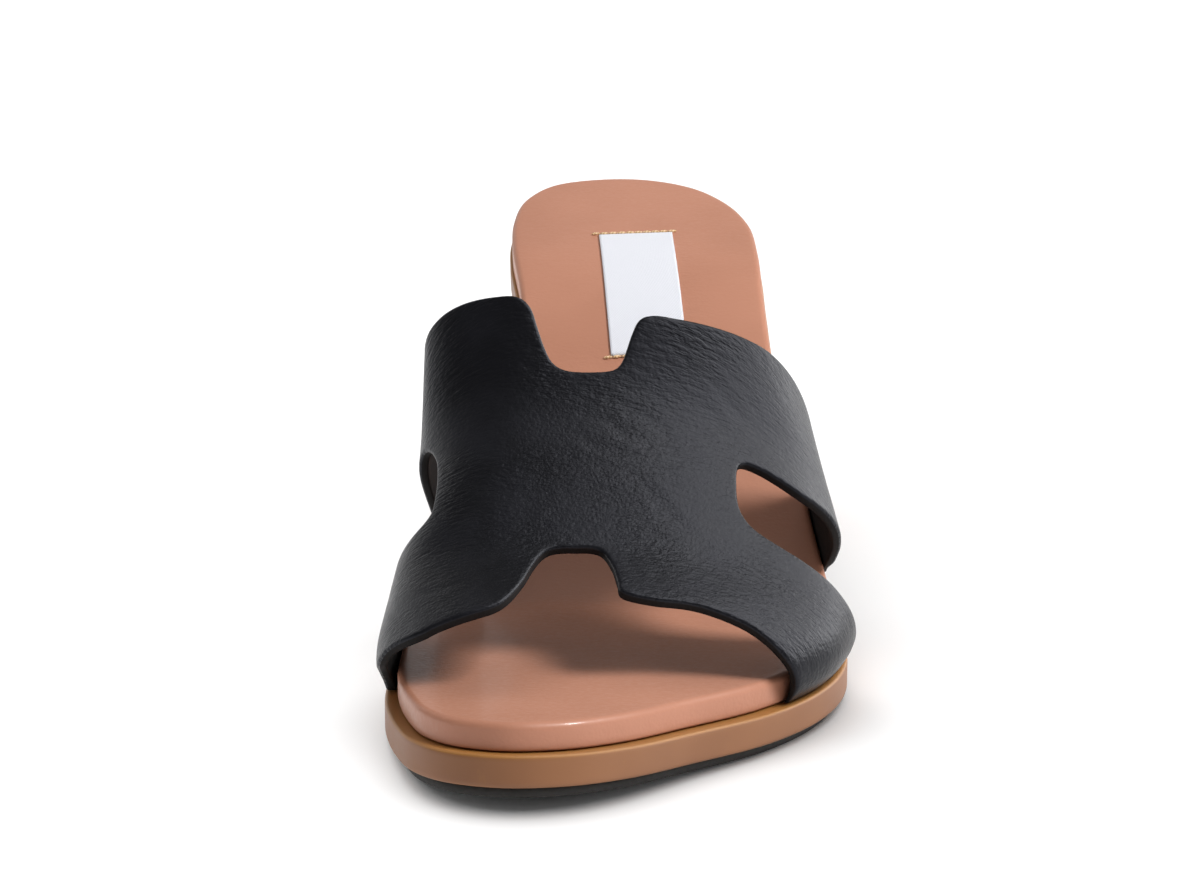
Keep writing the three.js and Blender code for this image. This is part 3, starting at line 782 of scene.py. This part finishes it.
class SandalFootbedSettings(bpy.types.PropertyGroup):
    """Sizes and colours of the footbed."""

    edge_radius: number("Edge radius", "Rounding of the padded top edge, in millimetres", 1.4, 0.5, 4)
    fill: number("Padding", "How firmly the footbed is padded", 0.8, 0, 1, subtype="FACTOR")
    leather_dark: shade("Leather, dark", "Darker tone of the footbed's leather", (0.43, 0.19, 0.117))
    leather_light: shade("Leather, light", "Lighter tone of the footbed's leather", (0.49, 0.222, 0.141))


class SandalSoleSettings(bpy.types.PropertyGroup):
    """Sizes and colours of the sole, the tread and the heel."""

    edge_radius: number("Edge radius", "Rounding of the sole's corners, in millimetres", 0.6, 0.2, 2)
    side_dark: shade("Side, dark", "Darker tone of the sole's side", (0.205, 0.081, 0.03))
    side_light: shade("Side, light", "Lighter tone of the sole's side", (0.26, 0.109, 0.043))
    # The golden tone is a painted highlight, laid on the sole's faces that look up.
    edge: shade("Edge", "Golden tone of the sole's upper corner", (0.33, 0.145, 0.036))


class SandalLabelSettings(bpy.types.PropertyGroup):
    """Sizes and colours of the blank label and its stitches."""

    length: number("Length", "Length of the label, in millimetres", 48.0, 20, 80)
    width: number("Width", "Width of the label, in millimetres", 16.4, 8, 30)
    thread_pitch: number("Weave pitch", "Distance between the label's threads, in millimetres", 0.55, 0.2, 2)
    stitch_pitch: number("Stitch pitch", "Distance between stitches, in millimetres", 1.75, 1, 5)
    stitch_length: number("Stitch length", "Length of one stitch, in millimetres", 1.95, 0.5, 5)
    stitch_radius: number("Thread radius", "Radius of the thread, in millimetres", 0.32, 0.1, 1)
    tape_painted_shade: shade("Tape, dark", "Darker tone of the tape", (0.62, 0.63, 0.68))
    tape_light: shade("Tape, light", "Lighter tone of the tape", (0.74, 0.75, 0.8))
    thread_painted_shade: shade("Thread, dark", "Darker tone of the thread", (0.55, 0.33, 0.14))
    thread_light: shade("Thread, light", "Lighter tone of the thread", (0.84, 0.62, 0.38))


class SandalStageSettings(bpy.types.PropertyGroup):
    """Floor, light and camera."""

    floor_colour: shade("Floor", "Colour of the floor", (0.94, 0.94, 0.94))
    world: number("Surround", "Strength of the even light from all round", 0.17, 0, 5)
    key_power: power("Main light", "light above the outer side", 16.0)
    sheen_power: power("Sheen light", "large light seen in the leather", 31.0)
    floor_power: power("Floor light", "light on the floor", 58.0)
    top_power: power("Top light", "weak wide light overhead", 10.0)
    side_power: power("Side lights", "low lights at both sides", 3.2)
    glint_power: power("Glint light", "small light seen in the footbed's edge", 22.0)
    back_power: power("Back light", "light behind, seen in the footbed", 6.5)
    rim_power: power("Rim lights", "lights behind, seen in the strap's sides", 12.5)
    lens: number("Lens", "Focal length on a 36 mm wide sensor", 116.23, 20, 300, unit="CAMERA")


# Pieces ---------------------------------------------------------------------------


class SANDAL_OT_strap(bpy.types.Operator):
    """Builds the one-piece strap, cut flat and laid over the last"""

    bl_idname = "sandal.strap"
    bl_label = "Strap"

    leather, cut_edge, lining = range(3)
    lining_radius = 0.3
    edge_spacing = 0.8

    def wall_rings(self, radius):
        """Rings down the cut edge: distance from the edge, depth in the leather, material."""
        thick, small = STRAP_THICKNESS, self.lining_radius
        rings = [(radius, thick, self.leather)]
        for a in np.radians((30, 60, 90)):
            rings.append((radius * (1 - math.sin(a)), thick - radius * (1 - math.cos(a)), self.leather))
        rings.append((0, (thick - radius + small) / 2, self.cut_edge))
        for a in np.radians((0, 45, 90)):
            rings.append((small * (1 - math.cos(a)), small * (1 - math.sin(a)), self.cut_edge))
        return [*rings, (radius, 0, self.lining)]

    @staticmethod
    def filled(loop, edge, step):
        """The pattern inside a loop: its points, its triangles and the point of each loop place."""
        row_step, edge_gap = step * 0.87, step * 0.6
        low, high = edge.min(0), edge.max(0)
        grid = np.array([
            (x + (k % 2) * step / 2, y)
            for k, y in enumerate(np.arange(low[1], high[1], row_step))
            for x in np.arange(low[0], high[0], step)
        ])
        grid = grid[inside_loop(grid, loop)]
        grid = grid[far_from_loop(grid, loop, edge_gap)]
        points = [Vector(p) for p in np.vstack([loop, grid])]
        found = delaunay_2d_cdt(points, [], [list(range(len(loop)))], 1, 1e-7)
        nearest = {source: k for k, sources in enumerate(found[3]) for source in sources}
        return np.array([tuple(p) for p in found[0]]), found[2], [nearest[i] for i in range(len(loop))]

    def execute(self, context):
        settings = context.scene.sandal_strap
        edge = []
        for rows in (TOE_OPENING, OUTER_CUTOUT, REAR_EDGE, INNER_CUTOUT):
            edge += spline_through(rows, 8)
        loop = even_loop(clip_to_span(edge), self.edge_spacing)
        way_in = inwards(loop)
        radius = settings.edge_round
        rings = self.wall_rings(radius)
        count = len(loop)
        flats = [loop + way_in * inset for inset, _, _ in rings]
        corners, triangles, nearest = self.filled(flats[0], loop, settings.point_spacing)
        places = [corners, *flats[1:-1], corners]
        starts = np.cumsum([0] + [len(p) for p in places])
        ids = [start + np.arange(count) for start in starts[:-1]]
        ids[0], ids[-1] = np.array(nearest), starts[-2] + np.array(nearest)
        faces = [tuple(triangle) for triangle in triangles]
        kinds = [self.leather] * len(faces)
        for upper, lower, (_, _, kind) in zip(ids, ids[1:], rings[1:]):
            for i in range(count):
                j = (i + 1) % count
                faces.append((upper[i], lower[i], lower[j], upper[j]))
                kinds.append(kind)
        for a, b, c in triangles:
            faces.append((starts[-2] + c, starts[-2] + b, starts[-2] + a))
            kinds.append(self.lining)
        flat = np.vstack(places)
        depth = np.concatenate([np.full(len(p), float(ring[1])) for p, ring in zip(places, rings)])
        depth *= thinned(flat[:, 1] / PATTERN_SPAN)
        outside = depth > STRAP_THICKNESS - radius - 0.01
        depth = depth + np.where(outside, crease_relief(flat[:, 0], flat[:, 1]), 0)
        points = on_sheet(strap_sheet(), flat[:, 0], flat[:, 1] / PATTERN_SPAN, depth)
        materials = [strap_leather(settings), strap_edge(), strap_lining()]
        piece = new_piece("strap_leather_piece", points, faces, materials, kinds, flat * MM)
        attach(piece, "root")
        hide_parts("strap_upper")
        return {"FINISHED"}


class SANDAL_OT_footbed(bpy.types.Operator):
    """Builds the padded footbed with its rounded top edge"""

    bl_idname = "sandal.footbed"
    bl_label = "Footbed"

    def execute(self, context):
        settings = context.scene.sandal_footbed
        radius = settings.edge_radius
        bottom = CLEARANCE - FOOTBED_THICKNESS

        def ring(inset, above):
            return (lambda along: np.full_like(along, -inset), above)

        levels = [ring(0.5, bottom), ring(0.12, bottom + 0.12), ring(0, bottom + 0.5)]
        levels += [ring(0, bottom * (1 - t) - radius * t) for t in (0.35, 0.65, 1.0)]
        for a in np.linspace(0, math.pi / 2, 9)[1:]:
            levels.append(ring(radius * (1 - math.cos(a)), -radius * (1 - math.sin(a))))
        levels.append(ring(radius + 1.2, 0))
        flat, faces = layer_points(levels, across=40)
        piece = new_piece("footbed_pad", bend(flat), faces, [footbed_leather(settings)])
        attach(piece, "root")
        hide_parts("footbed")
        return {"FINISHED"}


class SANDAL_OT_sole(bpy.types.Operator):
    """Builds the ledged sole and the tread under it"""

    bl_idname = "sandal.sole"
    bl_label = "Sole and tread"

    def execute(self, context):
        settings = context.scene.sandal_sole
        radius = settings.edge_radius
        top = -FOOTBED_THICKNESS
        bottom = top - SOLE_THICKNESS
        cap = radius + 0.8

        def ring(inset, above):
            return (lambda along: ledge_at(along) - inset, above)

        corner = [(radius * (1 - math.cos(a)), radius * (1 - math.sin(a))) for a in np.radians([0, 30, 60, 90])]
        levels = [ring(cap, bottom)]
        levels += [ring(inset, bottom + above) for above, inset in corner]
        levels += [ring(0, bottom + SOLE_THICKNESS * t) for t in (0.2, 0.5, 0.8)]
        levels += [ring(inset, top - below) for inset, below in corner]
        levels.append(ring(cap, top))
        flat, faces = layer_points(levels, across=8)
        sole = new_piece("sole_layer", bend(flat), faces, [sole_leather(settings)])
        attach(sole, "root")
        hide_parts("sole")

        upper = bottom - CLEARANCE * 0.1
        lower = bottom - CLEARANCE - TREAD_THICKNESS
        levels = [ring(TREAD_INSET + inset, above) for inset, above in
                  ((0.6, lower), (0.15, lower), (0, lower + 0.15), (0, upper))]
        flat, faces = layer_points(levels, across=8, end=FOOTBED_LENGTH - HEEL_DEPTH - TREAD_TO_HEEL)
        tread = new_piece("tread_layer", bend(flat), faces, [tread_rubber()])
        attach(tread, "root")
        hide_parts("tread")
        return {"FINISHED"}


class SANDAL_OT_heel(bpy.types.Operator):
    """Builds the block heel and the tip it stands on"""

    bl_idname = "sandal.heel"
    bl_label = "Heel"

    corner = 1.5

    def top_ring(self):
        """The heel's outline under the sole, closed by the straight breast."""
        above = -FOOTBED_THICKNESS - SOLE_THICKNESS - CLEARANCE * 0.1
        halves = []
        for half in grown(lambda a: ledge_at(a) - HEEL_INSET):
            half = half[half[:, 0] >= FOOTBED_LENGTH - HEEL_DEPTH]
            halves.append(bend(at_height(half, above)))
        count = min(len(half) for half in halves)
        lateral, medial = (half[-count:] for half in halves)
        ring = np.vstack([lateral, medial[::-1][1:]])
        over = (ring[-1] - ring[0]) / np.linalg.norm(ring[-1] - ring[0]) * self.corner
        t = np.linspace(0, 1, 24)[:, None]
        return np.vstack([ring[2:-2], (ring[-1] - over) * (1 - t) + (ring[0] + over) * t])

    def execute(self, context):
        settings = context.scene.sandal_sole
        ring = self.top_ring()
        centre = (ring.min(0) + ring.max(0)) / 2
        foot = centre + (ring - centre) * np.array([HEEL_TAPER, HEEL_TAPER, 0])
        foot[:, 2] = HEEL_TIP_THICKNESS + CLEARANCE

        def inset(points, distance):
            way = centre[:2] - points[:, :2]
            way /= np.linalg.norm(way, axis=1)[:, None]
            return points + np.column_stack([way * distance, np.zeros(len(points))])

        def wall(t):
            return inset(foot * (1 - t) + ring * t, HEEL_HOLLOW * math.sin(math.pi * t))

        rings = [inset(wall(0), 0.8), inset(wall(0), 0.25)]
        rings += [wall(t) for t in np.linspace(0.006, 0.994, 15)]
        rings += [inset(wall(1), 0.25), inset(wall(1), 0.8)]
        block = self.closed("heel_block_piece", rings, [sole_leather(settings, "brown_heel_leather")])
        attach(block, "root")
        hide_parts("heel_block")

        top = HEEL_TIP_THICKNESS + CLEARANCE * 0.9
        rings = []
        for z, distance in ((0, 0.9), (0, 0.35), (0.1, 0.1), (0.35, 0), (top - 0.25, 0), (top, 0.2), (top, 0.9)):
            rings.append(inset(foot, distance))
            rings[-1][:, 2] = z
        tip = self.closed("heel_tip_piece", rings, [tread_rubber("dark_heel_rubber")])
        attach(tip, "root")
        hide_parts("heel_tip")
        return {"FINISHED"}

    @staticmethod
    def closed(name, rings, materials):
        """A solid from rings with a middle point on both ends."""
        size = len(rings[0])
        faces = ring_faces(len(rings), size)
        low, last = len(rings) * size, (len(rings) - 1) * size
        for i in range(size):
            j = (i + 1) % size
            faces.append((low, j, i))
            faces.append((low + 1, last + i, last + j))
        points = np.vstack([*rings, rings[0].mean(0), rings[-1].mean(0)])
        return new_piece(name, points, faces, materials)


class SANDAL_OT_label(bpy.types.Operator):
    """Builds the blank woven label and the stitches at its two ends"""

    bl_idname = "sandal.label"
    bl_label = "Label"

    from_heel = 32.5
    across = -7.2
    turn = 7.4
    thickness = 0.45
    lift = 0.06
    end_share, end_width = 0.35, 0.9
    rows, columns = 97, 33
    row_steps = 12
    row_past_end, row_past_sides, row_shift, row_height = 0.45, 0.4, -0.3, 0.24

    def flat_point(self, down, out, above):
        """A point of the label: down its length from its middle, and out to the side."""
        turn = math.radians(self.turn)
        middle = FOOTBED_LENGTH - self.from_heel - self.length / 2
        return (
            middle + down * math.cos(turn) + out * math.sin(turn),
            self.across + (self.length / 2 - down) * math.sin(turn) + out * math.cos(turn),
            above,
        )

    def execute(self, context):
        settings = context.scene.sandal_label
        self.length = settings.length
        rows, columns = self.rows, self.columns
        flats, uv = [], []
        for side in (1, 0):
            for i in range(rows):
                for j in range(columns):
                    s, t = i / (rows - 1) - 0.5, j / (columns - 1) - 0.5
                    down, out = s * settings.length, t * settings.width
                    from_end = settings.length / 2 - abs(down)
                    full = min(1, self.end_share + from_end / self.end_width)
                    flats.append(self.flat_point(down, out, self.lift + side * self.thickness * full))
                    uv.append((down * MM, out * MM))
        size = rows * columns
        faces = []
        for i in range(rows - 1):
            for j in range(columns - 1):
                a = i * columns + j
                faces.append((a, a + columns, a + columns + 1, a + 1))
                faces.append((size + a, size + a + 1, size + a + columns + 1, size + a + columns))
        rim = [*range(columns), *[i * columns + columns - 1 for i in range(1, rows)]]
        rim += [(rows - 1) * columns + j for j in range(columns - 2, -1, -1)]
        rim += [i * columns for i in range(rows - 2, 0, -1)]
        for a, b in zip(rim, rim[1:] + rim[:1]):
            faces.append((a, b, size + b, size + a))
        label = new_piece("label_tape", bend(np.array(flats)), faces, [woven_tape(settings)], None, uv)
        stitches = self.stitches(settings)
        for piece in (label, stitches):
            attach(piece, "root")
            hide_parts("label")
        return {"FINISHED"}

    def stitches(self, settings):
        """Two rows of stitches from a geometry node tree, turned into a plain mesh."""
        points, edges = [], []
        for end in (-1, 1):
            down = end * (settings.length / 2 + self.row_past_end)
            reach = settings.width / 2 + self.row_past_sides
            edges += [(len(points) + k, len(points) + k + 1) for k in range(self.row_steps)]
            for out in np.linspace(-reach, reach, self.row_steps + 1) + self.row_shift:
                points.append(self.flat_point(down, out, self.row_height))
        mesh = bpy.data.meshes.new("label_stitch_rows")
        mesh.from_pydata([tuple(p) for p in place(bend(np.array(points)))], edges, [])
        rows = linked("label_stitch_rows", mesh)
        tree = stitch_tree()
        modifier = rows.modifiers.new("Stitches", "NODES")
        modifier.node_group = tree
        values = {
            "Pitch": settings.stitch_pitch * MM,
            "Length": settings.stitch_length * MM,
            "Radius": settings.stitch_radius * MM,
            "Thread": cream_thread(settings),
        }
        for item in tree.interface.items_tree:
            if item.item_type == "SOCKET" and item.in_out == "INPUT" and item.name in values:
                modifier[item.identifier] = values[item.name]
        bpy.context.view_layer.update()
        graph = bpy.context.evaluated_depsgraph_get()
        made = bpy.data.meshes.new_from_object(rows.evaluated_get(graph))
        made.name = "label_stitches"
        bpy.data.objects.remove(rows)
        made.shade_smooth()
        return linked("label_stitches", made)


def stitch_tree():
    """Stitches along the edges of a mesh: spaced by Pitch, each a short rounded thread."""
    tree = bpy.data.node_groups.new("Stitch Row", "GeometryNodeTree")
    face = tree.interface
    face.new_socket("Geometry", in_out="INPUT", socket_type="NodeSocketGeometry")
    for name in ("Pitch", "Length", "Radius"):
        face.new_socket(name, in_out="INPUT", socket_type="NodeSocketFloat")
    face.new_socket("Thread", in_out="INPUT", socket_type="NodeSocketMaterial")
    face.new_socket("Geometry", in_out="OUTPUT", socket_type="NodeSocketGeometry")

    def add(kind, **values):
        node = tree.nodes.new(kind)
        for key, value in values.items():
            setattr(node, key, value)
        return node

    start, finish = add("NodeGroupInput"), add("NodeGroupOutput")
    curve = add("GeometryNodeMeshToCurve")
    evenly = add("GeometryNodeResampleCurve", mode="LENGTH")
    ball = add("GeometryNodeMeshUVSphere")
    half = add("ShaderNodeMath", operation="MULTIPLY")
    size = add("ShaderNodeCombineXYZ")
    stretch = add("GeometryNodeTransform")
    tangent = add("GeometryNodeInputTangent")
    align = add("FunctionNodeAlignRotationToVector", axis="X")
    slant = add("FunctionNodeRotateRotation", rotation_space="LOCAL")
    put = add("GeometryNodeInstanceOnPoints")
    real = add("GeometryNodeRealizeInstances")
    paint = add("GeometryNodeSetMaterial")
    for socket, value in (("Segments", 12), ("Rings", 10), ("Radius", 1.0)):
        ball.inputs[socket].default_value = value
    half.inputs[1].default_value = 0.5
    slant.inputs["Rotate By"].default_value = (0.0, 0.0, math.radians(7))
    for source, output, target, into in (
        (start, "Geometry", curve, 0),
        (curve, 0, evenly, "Curve"),
        (start, "Pitch", evenly, "Length"),
        (start, "Length", half, 0),
        (half, 0, size, "X"),
        (start, "Radius", size, "Y"),
        (start, "Radius", size, "Z"),
        (ball, "Mesh", stretch, "Geometry"),
        (size, 0, stretch, "Scale"),
        (tangent, 0, align, "Vector"),
        (align, 0, slant, "Rotation"),
        (evenly, "Curve", put, "Points"),
        (stretch, "Geometry", put, "Instance"),
        (slant, 0, put, "Rotation"),
        (put, "Instances", real, "Geometry"),
        (real, "Geometry", paint, "Geometry"),
        (start, "Thread", paint, "Material"),
        (paint, "Geometry", finish, "Geometry"),
    ):
        tree.links.new(source.outputs[output], target.inputs[into])
    return tree


class SANDAL_OT_stage(bpy.types.Operator):
    """Sets the floor, the lights and the camera"""

    bl_idname = "sandal.stage"
    bl_label = "Stage"

    half_floor = 6.0
    # The camera, fitted to the photo: degrees, millimetres of the last, pixels of the photo
    azimuth, elevation = 4.0, 15.6
    target, distance = (0.0, 110.0, 30.0), 800.0
    photo_width = 1200
    aim_right, aim_up = 40.82, 52.17
    sensor = 36

    def execute(self, context):
        settings = context.scene.sandal_stage
        scene = context.scene
        mesh = bpy.data.meshes.new("floor")
        reach = self.half_floor
        mesh.from_pydata([(x, y, 0) for x, y in ((-reach, -reach), (reach, -reach), (reach, reach), (-reach, reach))],
                         [], [(0, 1, 2, 3)])
        mesh.materials.append(pale_floor(settings))
        floor = linked("floor", mesh)
        floor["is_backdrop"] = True

        world = bpy.data.worlds.new("surround")
        world.use_nodes = True
        world.node_tree.nodes["Background"].inputs["Color"].default_value = (1, 1, 1, 1)
        world.node_tree.nodes["Background"].inputs["Strength"].default_value = settings.world
        scene.world = world

        self.lights(settings, floor)
        scene.camera = self.camera(settings)
        scene.view_settings.view_transform = "Standard"
        return {"FINISHED"}

    def lights(self, settings, floor):
        """Area lights, each for what is seen in a gloss or for what it lights, and for some pieces."""
        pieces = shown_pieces()
        shoe = self.group("lit_pieces", pieces)
        pad = self.group("lit_footbed", [piece for piece in pieces if piece.name == "footbed_pad"])
        rest = self.group("lit_without_footbed", [piece for piece in pieces if piece.name != "footbed_pad"])
        ground = self.group("lit_floor", [floor])
        main, low = (0, 0, 0.03), (0, -0.02, 0.03)
        for name, at, towards, size, strength, kind, only in (
            ("sheen_light", (0.9, 0.25, 0.98), main, (1.35, 2.0), settings.sheen_power, "glossy", rest),
            ("key_light", (0.74, -0.24, 1.02), main, (0.45, 0.45), settings.key_power, "diffuse", shoe),
            ("top_light", (-0.4, 0.85, 1.1), (-0.1, 0.1, 0.03), (1.8, 1.8), settings.top_power, "diffuse", shoe),
            ("floor_light", (-0.1, 0.3, 1.4), (0, 0.3, 0), (3.2, 3.2), settings.floor_power, "diffuse", ground),
            ("outer_side_light", (1.2, -0.1, 0.25), low, (1.2, 0.4), settings.side_power, "diffuse", None),
            ("glint_light", (0.74, -0.24, 1.02), main, (0.2, 0.2), settings.glint_power, "glossy", pad),
            ("back_light", (0, 1.9, 0.5), (0, 0, 0.05), (3.8, 0.9), settings.back_power, "glossy", pad),
            ("outer_rim_light", (1.3, 1.3, 0.4), (0, 0, 0.04), (1.8, 0.9), settings.rim_power, "glossy", rest),
            ("inner_rim_light", (-1.3, 1.3, 0.4), (0, 0, 0.04), (1.8, 0.9), settings.rim_power * 0.3, "glossy", rest),
            ("inner_side_light", (-1.2, -0.1, 0.25), low, (1.2, 0.4), settings.side_power, "diffuse", None),
        ):
            data = bpy.data.lights.new(name, "AREA")
            data.shape = "RECTANGLE"
            data.size, data.size_y = size
            data.energy = strength
            light = linked(name, data)
            light.location = at
            light.rotation_mode = "QUATERNION"
            light.rotation_quaternion = (Vector(towards) - Vector(at)).to_track_quat("-Z", "Y")
            light.visible_camera = False
            light.visible_glossy = kind == "glossy"
            light.visible_diffuse = kind == "diffuse"
            if only:
                light.light_linking.receiver_collection = only

    @staticmethod
    def group(name, pieces):
        """A collection that a light can be limited to."""
        found = bpy.data.collections.new(name)
        for piece in pieces:
            found.objects.link(piece)
        return found

    def camera(self, settings):
        """The photo's camera, aimed beside the target as the photo's frame asks."""
        target = np.array(self.target) - SHIFT
        turn, tilt = math.radians(self.azimuth), math.radians(self.elevation)
        back = np.array([math.sin(turn) * math.cos(tilt), -math.cos(turn) * math.cos(tilt), math.sin(tilt)])
        right = np.cross(-back, [0, 0, 1])
        right /= np.linalg.norm(right)
        up = np.cross(right, -back)
        focal = settings.lens / self.sensor * self.photo_width
        look = -back * focal - right * self.aim_right + up * self.aim_up
        data = bpy.data.cameras.new("photo_camera")
        data.sensor_width = self.sensor
        data.lens = settings.lens
        data.clip_start, data.clip_end = 0.05, 30
        camera = linked("photo_camera", data)
        camera.location = Vector((target + back * self.distance) * MM)
        camera.rotation_mode = "QUATERNION"
        camera.rotation_quaternion = Vector(look).to_track_quat("-Z", "Y")
        return camera


class SANDAL_PT_panel(bpy.types.Panel):
    """Lists the sandal's pieces and their settings"""

    bl_label = "Sandal"
    bl_idname = "SANDAL_PT_panel"
    bl_space_type = "VIEW_3D"
    bl_region_type = "UI"
    bl_category = "Sandal"

    def draw(self, context):
        for operator, group in PIECES:
            box = self.layout.box()
            box.operator(operator.bl_idname)
            settings = getattr(context.scene, group)
            for name in settings.__annotations__:
                box.prop(settings, name)


GROUPS = {
    "sandal_strap": SandalStrapSettings,
    "sandal_footbed": SandalFootbedSettings,
    "sandal_sole": SandalSoleSettings,
    "sandal_label": SandalLabelSettings,
    "sandal_stage": SandalStageSettings,
}
PIECES = [
    (SANDAL_OT_footbed, "sandal_footbed"),
    (SANDAL_OT_sole, "sandal_sole"),
    (SANDAL_OT_heel, "sandal_sole"),
    (SANDAL_OT_strap, "sandal_strap"),
    (SANDAL_OT_label, "sandal_label"),
    (SANDAL_OT_stage, "sandal_stage"),
]
CLASSES = [*GROUPS.values(), *[piece for piece, _ in PIECES], SANDAL_PT_panel]


def register():
    for item in CLASSES:
        bpy.utils.register_class(item)
    for name, group in GROUPS.items():
        setattr(bpy.types.Scene, name, PointerProperty(type=group))


def unregister():
    for name in GROUPS:
        delattr(bpy.types.Scene, name)
    for item in reversed(CLASSES):
        bpy.utils.unregister_class(item)


def main():
    register()
    bpy.ops.sandal.footbed()
    bpy.ops.sandal.sole()
    bpy.ops.sandal.heel()
    bpy.ops.sandal.strap()
    bpy.ops.sandal.label()
    bpy.ops.sandal.stage()
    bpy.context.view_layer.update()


if __name__ == "__main__":
    main()
